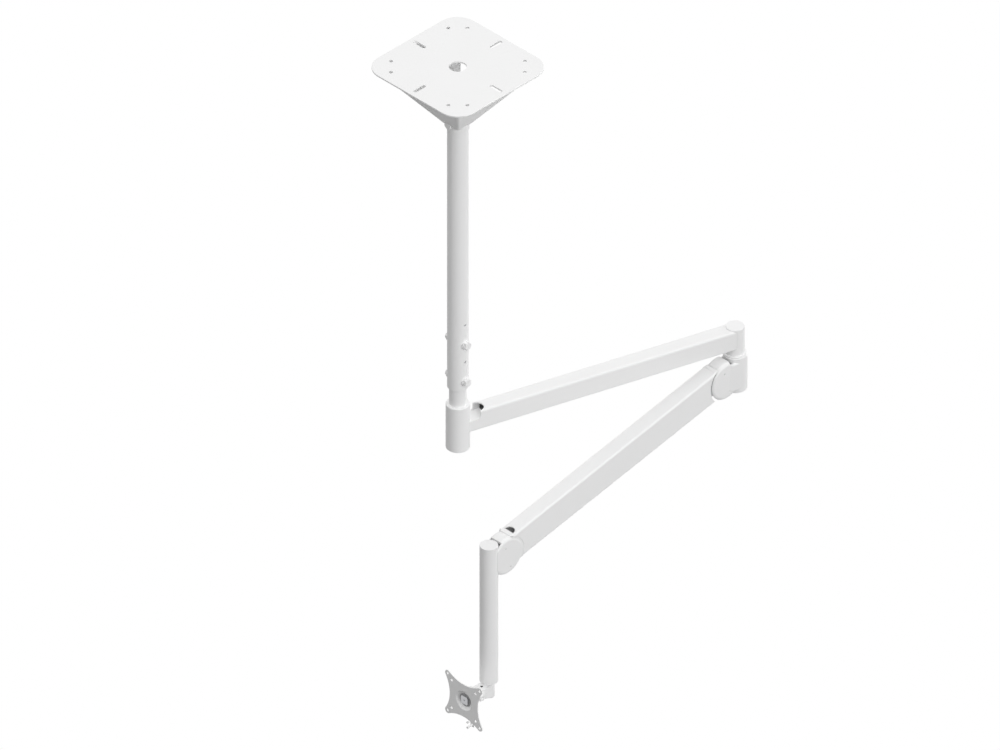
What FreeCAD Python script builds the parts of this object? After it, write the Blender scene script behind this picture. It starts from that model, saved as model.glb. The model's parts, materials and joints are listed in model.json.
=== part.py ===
import FreeCAD, Part
import math
import os

# Ceiling mount for a monitor: a plate on the ceiling, a telescopic mast, a level
# extension arm, a sprung arm that rises and falls, a drop post and a screen plate.
# Millimetres. The origin is the centre of the ceiling plate's top face, +Z is up,
# and the screen plate faces -Y.

Vector = FreeCAD.Vector
ORIGIN = Vector(0, 0, 0)
ALONG_X = Vector(1, 0, 0)
ALONG_Y = Vector(0, 1, 0)
ALONG_Z = Vector(0, 0, 1)

# Pose in which the mount hangs
EXTENSION_TURN = 16.9
SPRING_TILT = 10.85

# Ceiling plate
PLATE_SIDE = 300.0
PLATE_THICK = 4.0
PLATE_CORNER = 50.0
PLATE_EDGE = 0.8
CABLE_HOLE_R = 20.0
FIXING_LONG = 240.0
FIXING_SHORT = 180.0
FIXING_HOLE_R = 4.5
SLOT_RADIUS = 120.0
SLOT_LENGTH = 36.0
SLOT_WIDTH = 9.0

# Folded hopper under the plate
HOPPER_TOP_HALF = 135.5
HOPPER_FOOT_HALF = 25.4
HOPPER_DEPTH = 146.0
HOPPER_SHEET = 3.0
HOPPER_BEND = 7.0
HOPPER_LIP = 5.0
SCREW_WAY_R = 12.5

# Mast
MAST_R = 24.0
MAST_WALL = 4.0
MAST_FOOT = -868.0
MAST_IN_HOPPER = 38.0
MAST_CHAMFER = 1.0
INNER_R = 19.75
INNER_WALL = 3.25
INNER_OVERLAP = 218.0
COLLAR_R = 26.2
COLLAR_HEIGHT = 38.0
COLLAR_BELOW_HOPPER = 14.0
COLLAR_SCREW_RISE = 6.0
BOLT_ABOVE_FOOT = 123.0
HEIGHT_PITCH = 50.0
HEIGHT_BOLT_GAP = 100.0
GRUB_ABOVE_BOLT = 53.0
GRUB_R = 3.0
GRUB_LENGTH = 2.0

# Hexagon bolts and nuts, as used on the mast
BOLT_R = 5.0
BOLT_HOLE_R = 5.2
BOLT_HEAD_R = 10.0
BOLT_HEAD_H = 7.5
BOLT_END = 2.0
NUT_R = 9.0
NUT_H = 6.5
WASHER_R = 11.0
WASHER_H = 2.0

# Swivels: a sleeve turns on a spindle, on two bushes, and hangs on a washer
SLEEVE_R = 27.2
SLEEVE_CHAMFER = 1.6
BUSH_WALL = 3.2
BUSH_LENGTH = 28.0
BUSH_FLANGE_R = 25.5
SPINDLE_PLAY = 0.05
RELIEF_STEP = 1.5
SWIVEL_GAP = 0.3
THRUST_H = 2.0
STOP_DISC_H = 5.0
STOP_DISC_R = 19.3
STOP_LUG_R = 22.4
STOP_LUG_ANGLE = 12.0
STOP_PIN_R = 2.0
STOP_PIN_REACH = 20.2
STOP_PIN_COVER = 1.5
END_SCREW_R = 4.0
END_SCREW_HEAD_R = 6.5
END_SCREW_HEAD_H = 5.0
END_SCREW_GRIP = 22.0
END_PLUG_H = 26.0
END_CAP_H = 5.0
END_CAP_GAP = 1.4

# Extension arm
HUB_BELOW_MAST = 45.7
HUB_HEIGHT = 119.0
ARM_BELOW_HUB = 25.8
EXTENSION_LENGTH = 698.0
EXTENSION_WIDTH = 40.0
EXTENSION_HEIGHT = 50.0
EXTENSION_CORNER = 5.0
EXTENSION_WALL = 3.0
CHANNEL_DEPTH = 20.5
CHANNEL_NOTCH_END = 47.5
CHANNEL_NOTCH_CORNER = 8.0
CHANNEL_SLOT_END = 63.5
ELBOW_R = 21.0
ELBOW_HEIGHT = 67.3
ELBOW_CAP_H = 2.6
ELBOW_CAP_PROUD = 0.6
CAP_EDGE = 1.0
ELBOW_BORE_R = 11.0

# Knuckle under the elbow, and the like lug on the drop post
KNUCKLE_HEIGHT = 92.7
PIVOT_BELOW_TOP = 47.0
ELBOW_FLANGE_H = 2.6
LUG_R = 48.0
LUG_WIDTH = 40.0
LUG_EDGE = 9.0
LUG_CHEEK = 4.0
LUG_RIM = 5.0
LUG_FROM_ELBOW = 43.6
LUG_FROM_POST = 42.2
UPPER_MOUTH = (-72.0, 51.0)
LOWER_MOUTH = (-27.0, 78.0)
FLANK_START = 9.0
FLANK_HALF = 38.0
FLANK_EDGE = 6.0
KNUCKLE_SLOT_START = 8.0
POST_SLOT_START = 19.0
PIVOT_PIN_R = 6.0
PIVOT_PLAY = 0.05
LINK_OFFSET = 24.0
LINK_PIN_R = 4.0
ANCHOR_OFFSET = 18.0
ANCHOR_PIN_R = 3.5
ANCHOR_CLEAR = 0.7
ANCHOR_SWEEP = (30.0, 101.0)
COVER_SCREW_R = 2.5
COVER_SCREW_SUNK = 0.6
COVER_SCREWS = ((-10.0, 24.0), (6.0, -30.0))

# Sprung arm
SPRING_LENGTH = 700.0
SPRING_ABOVE = 45.2
SPRING_BELOW = 29.5
SPRING_CORNER = 5.0
SPRING_WALL = 3.0
UPPER_END_GAP = 5.0
LOWER_END_GAP = 0.4
CABLE_HOLE_START = 29.3
CABLE_HOLE_HALF = 13.7
YOKE_PLATE = 4.6
YOKE_SIDE_GAP = 0.4
YOKE_EYE_R = 12.0
YOKE_LENGTH = 108.0
YOKE_PAD_START = 60.0
YOKE_WEB_H = 10.0
LINK_ROD_R = 4.0
LINK_EYE_R = 8.0
LINK_EYE_WIDTH = 12.0
STRUT_LENGTH = 330.0
STRUT_DROP = 14.0
STRUT_BODY_R = 8.5
STRUT_BODY_LENGTH = 190.0
STRUT_ROD_R = 4.0
STRUT_EYE_R = 6.3
STRUT_EYE_WIDTH = 10.0
STRUT_NECK = 10.3
ROD_EYE_R = 8.3
ROD_EYE_PLAY = 2.2
STRUT_ROD_INSIDE = 60.0
STRUT_BORE_SPARE = 20.0
CROSS_PIN_R = 3.5

# Drop post
POST_R = 20.9
POST_WALL = 3.0
POST_ABOVE_PIVOT = 42.5
POST_LENGTH = 367.0
POST_CAP_H = 4.0
POST_PLUG_H = 25.0

# Head
HEAD_GAP = 0.3
HEAD_HALF = 13.1
HEAD_REAR_H = 40.6
HEAD_FRONT_R = 9.0
HEAD_STEP = 5.0
KEY_HOLE_R = 3.0
KEY_HOLE_REACH = 22.5
KEY_HOLE_DEPTH = 16.0
TILT_REACH = 42.6
TILT_DROP = 16.9
TILT_BOLT_R = 4.0
TILT_HEAD_R = 7.0
TILT_HEAD_H = 5.0
EAR_THICK = 5.0
EAR_GAP = 0.3
EAR_R = 11.0
EAR_HALF_HEIGHT = 9.0
SCREEN_REACH = 79.5
YOKE_BACK_R = 19.0
YOKE_BACK_H = 5.0
SWIVEL_SCREW_R = 4.0
SWIVEL_SCREW_HEAD_R = 6.5
SWIVEL_SCREW_HEAD_H = 5.0
SWIVEL_HEAD_PLAY = 0.5
SWIVEL_HEAD_SUNK = 2.0
SWIVEL_SCREW_END = 20.0

# Screen plate
SCREEN_PITCH = 100.0
SCREEN_PITCH_SMALL = 75.0
SCREEN_SHEET = 2.0
SCREEN_TIP_R = 8.0
SCREEN_WAIST = 43.5
SCREEN_HOLE_R = 3.2
DISH_R = 25.0
DISH_FLOOR_R = 17.5
DISH_DEPTH = 6.0
SEAT_R = 16.5
SEAT_H = 1.5
CENTRE_SCREW_R = 5.0
CENTRE_HEAD_HALF = 10.5
CENTRE_HEAD_CORNER = 5.0
CENTRE_HEAD_H = 2.5
CENTRE_SOCKET_R = 2.0
CENTRE_SOCKET_DEPTH = 1.5
TILT_SOCKET_R = 3.0
TILT_SOCKET_DEPTH = 2.0

# Cable clip behind the screen plate: a bent strip with two short tubes
CLIP_WIDTH = 10.0
CLIP_SHEET = 1.5
CLIP_START = 31.0
CLIP_BEND = 43.0
CLIP_END = 84.0
CLIP_BACK = 27.0
CLIP_TUBE_R = 2.6
CLIP_TUBE_BORE = 1.7
CLIP_TUBE_FRONT = 11.5
CLIP_TUBE_DROPS = (65.3, 79.3)

# Sizes worked out from the ones above
HALF_EXTENSION = EXTENSION_WIDTH / 2
HALF_LUG = LUG_WIDTH / 2
SLEEVE_BORE_R = INNER_R + BUSH_WALL
HOPPER_FOOT = -PLATE_THICK - HOPPER_DEPTH
MAST_TOP = HOPPER_FOOT + MAST_IN_HOPPER
INNER_TOP = MAST_FOOT + INNER_OVERLAP
COLLAR_FOOT = HOPPER_FOOT - COLLAR_BELOW_HOPPER
COLLAR_TOP = COLLAR_FOOT + COLLAR_HEIGHT
COLLAR_SCREW_Z = HOPPER_FOOT + COLLAR_SCREW_RISE
HEIGHT_BOLT_Z = MAST_FOOT + BOLT_ABOVE_FOOT
HUB_TOP = MAST_FOOT - HUB_BELOW_MAST
HUB_FOOT = HUB_TOP - HUB_HEIGHT
EXTENSION_TOP = HUB_TOP - ARM_BELOW_HUB
EXTENSION_FOOT = EXTENSION_TOP - EXTENSION_HEIGHT
ELBOW_SHOULDER = EXTENSION_TOP - ELBOW_HEIGHT
KNUCKLE_TOP = ELBOW_SHOULDER - ELBOW_FLANGE_H - SWIVEL_GAP
KNUCKLE_FOOT = KNUCKLE_TOP - KNUCKLE_HEIGHT
PIVOT_Z = KNUCKLE_TOP - PIVOT_BELOW_TOP
STACK_BELOW_BUSH = SWIVEL_GAP + THRUST_H + STOP_DISC_H + END_SCREW_HEAD_H + END_CAP_GAP + END_CAP_H
MAST_SPINDLE_FOOT = HUB_FOOT + STACK_BELOW_BUSH - SWIVEL_GAP
ELBOW_SPINDLE_FOOT = KNUCKLE_FOOT + STACK_BELOW_BUSH - SWIVEL_GAP
CAVITY_HALF = HALF_LUG - LUG_CHEEK
CAVITY_R = LUG_R - LUG_RIM
PIN_END = HALF_LUG - LUG_CHEEK / 2
POST_TOP = POST_ABOVE_PIVOT
POST_FOOT = POST_TOP - POST_LENGTH
HEAD_TOP = POST_FOOT - HEAD_GAP


def upright(radius, low, high, x=0.0, y=0.0):
    """Round bar standing between two heights."""
    return Part.makeCylinder(radius, high - low, Vector(x, y, low), ALONG_Z)


def ring(outer, inner, low, high):
    """Upright sleeve with a plain bore."""
    return upright(outer, low, high).cut(upright(inner, low, high))


def crossways(radius, left, right, y=0.0, z=0.0):
    """Round bar lying along X."""
    return Part.makeCylinder(radius, right - left, Vector(left, y, z), ALONG_X)


def lengthways(radius, back, front, x=0.0, z=0.0):
    """Round bar lying along Y."""
    return Part.makeCylinder(radius, front - back, Vector(x, back, z), ALONG_Y)


def block(x_span, y_span, z_span):
    """Box between two corners, given as one span for each axis."""
    size = [high - low for low, high in (x_span, y_span, z_span)]
    return Part.makeBox(*size, Vector(x_span[0], y_span[0], z_span[0]))


def edges_along(shape, direction):
    """Straight edges that run along one direction."""
    found = []
    for edge in shape.Edges:
        if not isinstance(edge.Curve, Part.Line):
            continue
        if abs(edge.tangentAt(edge.FirstParameter).dot(direction)) > 0.999:
            found.append(edge)
    return found


def rounded_block(x_span, y_span, z_span, radius, direction):
    """Box whose four edges along one direction are rounded."""
    body = block(x_span, y_span, z_span)
    return body.makeFillet(radius, edges_along(body, direction))


def prism(points, direction):
    """Straight-sided outline pushed along a vector."""
    outline = Part.makePolygon(list(points) + [points[0]])
    return Part.Face(outline).extrude(direction)


def hexagon(radius, x_start, x_end, y=0.0, z=0.0):
    """Hexagonal bar lying along X, measured across its corners."""
    corners = []
    for step in range(6):
        angle = math.radians(60 * step)
        corners.append(Vector(x_start, y + radius * math.cos(angle), z + radius * math.sin(angle)))
    return prism(corners, Vector(x_end - x_start, 0, 0))


def spun(points, axis):
    """Closed outline turned about an axis through the origin."""
    outline = Part.makePolygon(list(points) + [points[0]])
    return Part.Face(outline).revolve(ORIGIN, axis, 360)


def moved(shape, x=0.0, y=0.0, z=0.0):
    """Shape shifted by a distance."""
    copy = shape.copy()
    copy.translate(Vector(x, y, z))
    return copy


def turned(shape, axis, angle):
    """Shape turned about an axis through the origin, in degrees."""
    copy = shape.copy()
    copy.rotate(ORIGIN, axis, angle)
    return copy


def on_extension(shape):
    """From the arm's own frame, along +Y from the mast, to its place."""
    return turned(shape, ALONG_Z, -EXTENSION_TURN)


def elbow_axis():
    """Point in plan that the knuckle turns about."""
    angle = math.radians(EXTENSION_TURN)
    return Vector(EXTENSION_LENGTH * math.sin(angle), EXTENSION_LENGTH * math.cos(angle), 0)


def at_elbow(shape):
    """From a frame on the elbow axis, with the ceiling's heights, to its place."""
    place = elbow_axis()
    return moved(shape, place.x, place.y)


def upper_pivot():
    """Pivot between the knuckle and the sprung arm."""
    return elbow_axis() + Vector(0, -LUG_FROM_ELBOW, PIVOT_Z)


def lower_pivot():
    """Pivot between the sprung arm and the drop post."""
    angle = math.radians(SPRING_TILT)
    run = Vector(0, -SPRING_LENGTH * math.cos(angle), -SPRING_LENGTH * math.sin(angle))
    return upper_pivot() + run


def at_point(shape, place):
    """From a frame at a point to its place."""
    return moved(shape, place.x, place.y, place.z)


def on_spring_arm(shape):
    """From the sprung arm's frame, along -Y from its pivot, to its place."""
    return at_point(turned(shape, ALONG_X, SPRING_TILT), upper_pivot())


def at_post(shape):
    """From a frame on the post's axis, level with the lower pivot, to its place."""
    return moved(at_point(shape, lower_pivot()), y=-LUG_FROM_POST)


# Ceiling plate, hopper and mast

def ceiling_plate():
    """Square steel plate with rounded corners, fixing holes, slots and a cable hole."""
    half = PLATE_SIDE / 2
    span = (-half, half)
    plate = rounded_block(span, span, (-PLATE_THICK, 0), PLATE_CORNER, ALONG_Z)
    rim = [edge for edge in plate.Edges if abs(edge.BoundBox.ZMin - edge.BoundBox.ZMax) < 0.001]
    plate = plate.makeFillet(PLATE_EDGE, rim)
    cutters = [upright(CABLE_HOLE_R, -PLATE_THICK, 0)]
    for across, deep in ((FIXING_LONG, FIXING_SHORT), (FIXING_SHORT, FIXING_LONG)):
        for x in (-across / 2, across / 2):
            for y in (-deep / 2, deep / 2):
                cutters.append(upright(FIXING_HOLE_R, -PLATE_THICK, 0, x, y))
    run = (SLOT_LENGTH - SLOT_WIDTH) / 2
    slot = block((SLOT_RADIUS - run, SLOT_RADIUS + run), (-SLOT_WIDTH / 2, SLOT_WIDTH / 2),
                 (-PLATE_THICK, 0))
    for end in (SLOT_RADIUS - run, SLOT_RADIUS + run):
        slot = slot.fuse(upright(SLOT_WIDTH / 2, -PLATE_THICK, 0, end))
    for quarter in range(4):
        cutters.append(turned(slot, ALONG_Z, 90 * quarter))
    return plate.cut(cutters)


def hopper_half(z):
    """Half width of the hopper's outside at a height."""
    share = (-PLATE_THICK - z) / HOPPER_DEPTH
    return HOPPER_TOP_HALF + share * (HOPPER_FOOT_HALF - HOPPER_TOP_HALF)


def square_wire(half, z, radius):
    """Square outline with rounded corners at a height."""
    bend = Part.makeCircle(radius, Vector(half - radius, half - radius, z), ALONG_Z, 0, 90)
    side = Part.makeLine(Vector(half - radius, half, z), Vector(radius - half, half, z))
    edges = []
    for quarter in range(4):
        edges.append(turned(bend, ALONG_Z, 90 * quarter))
        edges.append(turned(side, ALONG_Z, 90 * quarter))
    return Part.Wire(edges)


def plate_hopper():
    """Sheet folded to a four-sided funnel, open towards +Y with two return lips."""
    top = -PLATE_THICK
    foot = top - HOPPER_DEPTH
    slope = math.atan2(HOPPER_TOP_HALF - HOPPER_FOOT_HALF, HOPPER_DEPTH)
    wall = HOPPER_SHEET / math.cos(slope)
    inner_bend = HOPPER_BEND - HOPPER_SHEET
    outside = Part.makeLoft([square_wire(HOPPER_TOP_HALF, top, HOPPER_BEND),
                             square_wire(HOPPER_FOOT_HALF, foot, HOPPER_BEND)], True, True)
    inside = Part.makeLoft([square_wire(HOPPER_TOP_HALF - wall, top, inner_bend),
                            square_wire(HOPPER_FOOT_HALF - wall, foot, inner_bend)], True, True)
    lip = wall + HOPPER_LIP
    opening = prism([Vector(-HOPPER_TOP_HALF + lip, 0, top), Vector(HOPPER_TOP_HALF - lip, 0, top),
                     Vector(HOPPER_FOOT_HALF - lip, 0, foot), Vector(lip - HOPPER_FOOT_HALF, 0, foot)],
                    Vector(0, PLATE_SIDE, 0))
    screw_way = lengthways(SCREW_WAY_R, -HOPPER_TOP_HALF, 0, 0, COLLAR_SCREW_Z)
    return outside.cut([inside, opening, upright(COLLAR_R, foot, COLLAR_TOP), screw_way])


def mast_collar():
    """Ring welded into the hopper, in which the mast is clamped."""
    body = ring(COLLAR_R, MAST_R, COLLAR_FOOT, COLLAR_TOP)
    return body.cut(lengthways(BOLT_HOLE_R, -COLLAR_R, COLLAR_R, 0, COLLAR_SCREW_Z))


def hexagon_bolt(length):
    """Bolt along +X, its head's seat at the origin and its head below zero."""
    return crossways(BOLT_R, 0, length).fuse(hexagon(BOLT_HEAD_R, -BOLT_HEAD_H, 0))


def nut(start):
    """Hexagon nut along X with its bore on the axis."""
    body = hexagon(NUT_R, start, start + NUT_H)
    return body.cut(crossways(BOLT_R, start, start + NUT_H))


def collar_screw():
    """Screw that pins the mast in the collar, from the front."""
    screw = moved(hexagon_bolt(2 * COLLAR_R + NUT_H + BOLT_END), -COLLAR_R)
    return moved(turned(screw, ALONG_Z, 90), z=COLLAR_SCREW_Z)


def collar_nut():
    """Nut on the collar's rear, reached through the hopper's open side."""
    return moved(turned(nut(COLLAR_R), ALONG_Z, 90), z=COLLAR_SCREW_Z)


def height_bolt_levels():
    """Heights of the two bolts that hold the inner tube."""
    return (HEIGHT_BOLT_Z, HEIGHT_BOLT_Z - HEIGHT_BOLT_GAP)


def mast_tube_outer():
    """Outer mast tube with cross holes for the bolts and the grub screws."""
    body = ring(MAST_R, MAST_R - MAST_WALL, MAST_FOOT, MAST_TOP)
    rim = [edge for edge in body.Edges if edge.BoundBox.ZMax < MAST_FOOT + 0.001
           and edge.BoundBox.XLength > 2 * MAST_R - MAST_WALL]
    body = body.makeChamfer(MAST_CHAMFER, rim)
    cutters = [lengthways(BOLT_HOLE_R, -MAST_R, MAST_R, 0, COLLAR_SCREW_Z)]
    for z in height_bolt_levels():
        cutters.append(crossways(BOLT_HOLE_R, -MAST_R, MAST_R, 0, z))
        cutters.append(crossways(GRUB_R, 0, MAST_R, 0, z + GRUB_ABOVE_BOLT))
    return body.cut(cutters)


def mast_tube_inner():
    """Inner mast tube, the spindle of the first swivel, with a row of height holes."""
    body = ring(INNER_R, INNER_R - INNER_WALL, MAST_SPINDLE_FOOT, INNER_TOP)
    cutters = []
    for step in range(-1, 3):
        z = HEIGHT_BOLT_Z - step * HEIGHT_PITCH
        cutters.append(crossways(BOLT_HOLE_R, -INNER_R, INNER_R, 0, z))
    return body.cut(cutters)


def bolt_seat():
    """Distance from the mast's axis to the underside of a bolt's head or nut."""
    return MAST_R + WASHER_H


def height_bolts():
    """Two bolts through both tubes, heads on the +X side."""
    bolt = moved(hexagon_bolt(2 * bolt_seat() + NUT_H + BOLT_END), -bolt_seat())
    bolt = turned(bolt, ALONG_Z, 180)
    return Part.makeCompound([moved(bolt, z=z) for z in height_bolt_levels()])


def height_nuts():
    """Nuts of the two mast bolts, on the -X side."""
    piece = nut(-bolt_seat() - NUT_H)
    return Part.makeCompound([moved(piece, z=z) for z in height_bolt_levels()])


def height_washers():
    """Saddle washers that fit the tube's curve under each head and nut."""
    washers = []
    tube = upright(MAST_R, MAST_FOOT, MAST_TOP)
    for z in height_bolt_levels():
        for low, high in ((-bolt_seat(), -MAST_R + WASHER_H), (MAST_R - WASHER_H, bolt_seat())):
            body = crossways(WASHER_R, low, high, 0, z).cut(crossways(BOLT_HOLE_R, low, high, 0, z))
            washers.append(body.cut(tube))
    return Part.makeCompound(washers)


def grub_screws():
    """Grub screws that take the play out of the inner tube."""
    screws = []
    for level in height_bolt_levels():
        z = level + GRUB_ABOVE_BOLT
        screws.append(crossways(GRUB_R, INNER_R, INNER_R + GRUB_LENGTH, 0, z))
    return Part.makeCompound(screws)


# Swivels, shared by the mast's foot and the elbow

def swivel_sleeve(top, foot):
    """Turned sleeve with a seat at each end for a bush and a relief between them."""
    half_profile = [Vector(0, 0, foot), Vector(SLEEVE_R - SLEEVE_CHAMFER, 0, foot),
                    Vector(SLEEVE_R, 0, foot + SLEEVE_CHAMFER), Vector(SLEEVE_R, 0, top - SLEEVE_CHAMFER),
                    Vector(SLEEVE_R - SLEEVE_CHAMFER, 0, top), Vector(0, 0, top)]
    body = spun(half_profile, ALONG_Z)
    lower_seat = foot + STACK_BELOW_BUSH + BUSH_LENGTH
    bores = [upright(SLEEVE_BORE_R, top - BUSH_LENGTH, top),
             upright(SLEEVE_BORE_R - RELIEF_STEP, lower_seat, top - BUSH_LENGTH),
             upright(SLEEVE_BORE_R, foot, lower_seat)]
    pin_way = crossways(STOP_PIN_R, SLEEVE_BORE_R - RELIEF_STEP, SLEEVE_R - STOP_PIN_COVER, 0,
                        stop_level(foot))
    return body.cut(bores + [pin_way])


def stop_level(foot):
    """Height of the stop pin and lug in a sleeve."""
    return foot + END_CAP_H + END_CAP_GAP + END_SCREW_HEAD_H + STOP_DISC_H / 2


def bush(low):
    """Plain plastic bush in one of a sleeve's seats."""
    return ring(SLEEVE_BORE_R, INNER_R + SPINDLE_PLAY, low, low + BUSH_LENGTH)


def bush_upper(top):
    """Plastic bush in the sleeve's top, with a flange that the elbow stands on."""
    body = upright(SLEEVE_BORE_R, top - BUSH_LENGTH, top)
    body = body.fuse(upright(BUSH_FLANGE_R, top, top + ELBOW_FLANGE_H))
    return body.cut(upright(INNER_R + SPINDLE_PLAY, top - BUSH_LENGTH, top + ELBOW_FLANGE_H))


def bush_lower(foot):
    """Plastic bush pushed into the sleeve's foot."""
    return bush(foot + STACK_BELOW_BUSH)


def thrust_washer(foot):
    """Washer under the spindle on which the sleeve hangs."""
    high = foot + STACK_BELOW_BUSH - SWIVEL_GAP
    return ring(STOP_LUG_R, END_SCREW_R, high - THRUST_H, high)


def stop_disc(foot):
    """Disc with one lug that meets the sleeve's stop pin at the end of the turn."""
    high = foot + STACK_BELOW_BUSH - SWIVEL_GAP - THRUST_H
    low = high - STOP_DISC_H
    half = math.radians(STOP_LUG_ANGLE / 2)
    reach = 2 * STOP_LUG_R
    wedge = prism([Vector(0, 0, low), Vector(-reach * math.cos(half), -reach * math.sin(half), low),
                   Vector(-reach * math.cos(half), reach * math.sin(half), low)],
                  Vector(0, 0, STOP_DISC_H))
    body = upright(STOP_DISC_R, low, high).fuse(upright(STOP_LUG_R, low, high).common(wedge))
    return body.cut(upright(END_SCREW_R, low, high)).removeSplitter()


def end_screw(foot):
    """Screw that holds the stop disc and washer to the spindle."""
    seat = foot + END_CAP_H + END_CAP_GAP + END_SCREW_HEAD_H
    body = upright(END_SCREW_HEAD_R, seat - END_SCREW_HEAD_H, seat)
    return body.fuse(upright(END_SCREW_R, seat, seat + END_SCREW_GRIP))


def stop_pin(foot):
    """Pin in the sleeve's wall that the lug runs against."""
    return crossways(STOP_PIN_R, STOP_PIN_REACH, SLEEVE_R - STOP_PIN_COVER, 0, stop_level(foot))


def end_cap(foot):
    """Plug that closes the sleeve's foot."""
    return upright(SLEEVE_BORE_R, foot, foot + END_CAP_H)


def mast_end_plug():
    """Plug welded into the inner tube's foot, tapped for the end screw."""
    return ring(INNER_R - INNER_WALL, END_SCREW_R, MAST_SPINDLE_FOOT, MAST_SPINDLE_FOOT + END_PLUG_H)


# Extension arm, modelled along +Y from the mast's axis

def channel_notch():
    """Cut at the arm's root that opens its cable channel from above and from both sides."""
    floor = EXTENSION_TOP - CHANNEL_DEPTH
    sides = block((-HALF_EXTENSION, HALF_EXTENSION), (0, CHANNEL_NOTCH_END), (floor, EXTENSION_TOP))
    edges = [edge for edge in edges_along(sides, ALONG_X)
             if edge.BoundBox.YMin > CHANNEL_NOTCH_END / 2 and edge.BoundBox.ZMax < EXTENSION_TOP - 1]
    sides = sides.makeFillet(CHANNEL_NOTCH_CORNER, edges)
    half = HALF_EXTENSION - EXTENSION_WALL
    middle = CHANNEL_SLOT_END - half
    slot = block((-half, half), (0, middle), (EXTENSION_TOP - 2 * EXTENSION_WALL, EXTENSION_TOP))
    round_end = upright(half, EXTENSION_TOP - 2 * EXTENSION_WALL, EXTENSION_TOP, 0, middle)
    return sides.fuse([slot, round_end])


def extension_tube():
    """Extruded arm with a cable channel on top, coped to the sleeve and the elbow."""
    span_x = (-HALF_EXTENSION, HALF_EXTENSION)
    span_y = (0, EXTENSION_LENGTH)
    body = rounded_block(span_x, span_y, (EXTENSION_FOOT, EXTENSION_TOP), EXTENSION_CORNER, ALONG_Y)
    inner_x = (span_x[0] + EXTENSION_WALL, span_x[1] - EXTENSION_WALL)
    floor = EXTENSION_TOP - CHANNEL_DEPTH
    inner_corner = EXTENSION_CORNER - EXTENSION_WALL
    channel = rounded_block(inner_x, span_y, (floor, EXTENSION_TOP - EXTENSION_WALL), inner_corner, ALONG_Y)
    lower_space = rounded_block(inner_x, span_y, (EXTENSION_FOOT + EXTENSION_WALL, floor - EXTENSION_WALL),
                                inner_corner, ALONG_Y)
    elbow = upright(ELBOW_R, EXTENSION_FOOT, EXTENSION_TOP, 0, EXTENSION_LENGTH)
    root = upright(SLEEVE_R, EXTENSION_FOOT, EXTENSION_TOP)
    return on_extension(body.cut([channel, lower_space, channel_notch(), elbow, root]))


def elbow_spindle():
    """Upright at the arm's far end, stepped down to the spindle of the second swivel."""
    cap_seat = EXTENSION_TOP + ELBOW_CAP_PROUD - ELBOW_CAP_H
    body = upright(ELBOW_R, ELBOW_SHOULDER, cap_seat)
    body = body.fuse(upright(INNER_R, ELBOW_SPINDLE_FOOT, ELBOW_SHOULDER))
    bore = upright(ELBOW_BORE_R, ELBOW_SPINDLE_FOOT + END_PLUG_H, cap_seat)
    tapping = upright(END_SCREW_R, ELBOW_SPINDLE_FOOT, ELBOW_SPINDLE_FOOT + END_PLUG_H)
    return at_elbow(body.cut([bore, tapping]).removeSplitter())


def elbow_cap():
    """Round cover on the elbow upright."""
    high = EXTENSION_TOP + ELBOW_CAP_PROUD
    body = upright(ELBOW_R, high - ELBOW_CAP_H, high)
    rim = [edge for edge in body.Edges if edge.BoundBox.ZMin > high - 0.001]
    return at_elbow(body.makeFillet(CAP_EDGE, rim))


# Knuckle and post lug, modelled about the pivot with the arm towards -Y

def rounded_disc(radius, half, edge):
    """Wheel along X with rounded edges."""
    arc_centre_x = half - edge
    arc_centre_y = radius - edge
    tilt = edge * math.sqrt(0.5)
    corners = [Vector(-half, 0, 0), Vector(-half, arc_centre_y, 0), Vector(-arc_centre_x, radius, 0),
               Vector(arc_centre_x, radius, 0), Vector(half, arc_centre_y, 0), Vector(half, 0, 0)]
    left = Part.Arc(corners[1], Vector(-arc_centre_x - tilt, arc_centre_y + tilt, 0), corners[2])
    right = Part.Arc(corners[3], Vector(arc_centre_x + tilt, arc_centre_y + tilt, 0), corners[4])
    edges = [Part.makeLine(corners[0], corners[1]), left.toShape(), Part.makeLine(corners[2], corners[3]),
             right.toShape(), Part.makeLine(corners[4], corners[5]), Part.makeLine(corners[5], corners[0])]
    return Part.Face(Part.Wire(edges)).revolve(ORIGIN, ALONG_X, 360)


def mouth(low_angle, high_angle):
    """Sector, along X, that opens a lug's rim towards -Y between two angles."""
    reach = 2 * LUG_R
    points = [Vector(-CAVITY_HALF, 0, 0)]
    steps = 8
    for step in range(steps + 1):
        angle = math.radians(low_angle + (high_angle - low_angle) * step / steps)
        points.append(Vector(-CAVITY_HALF, -reach * math.cos(angle), reach * math.sin(angle)))
    return prism(points, Vector(2 * CAVITY_HALF, 0, 0))


def pin_ways():
    """Holes for the pivot pin and the link pin, blind on the +X side."""
    return [crossways(PIVOT_PIN_R, -HALF_LUG, PIN_END),
            crossways(LINK_PIN_R, -HALF_LUG, PIN_END, 0, LINK_OFFSET)]


def cover_screw_ways():
    """Small counterbores in both sides of a lug."""
    ways = []
    for y, z in COVER_SCREWS:
        ways.append(crossways(COVER_SCREW_R, HALF_LUG - LUG_CHEEK / 2, HALF_LUG, y, z))
    return ways


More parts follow.
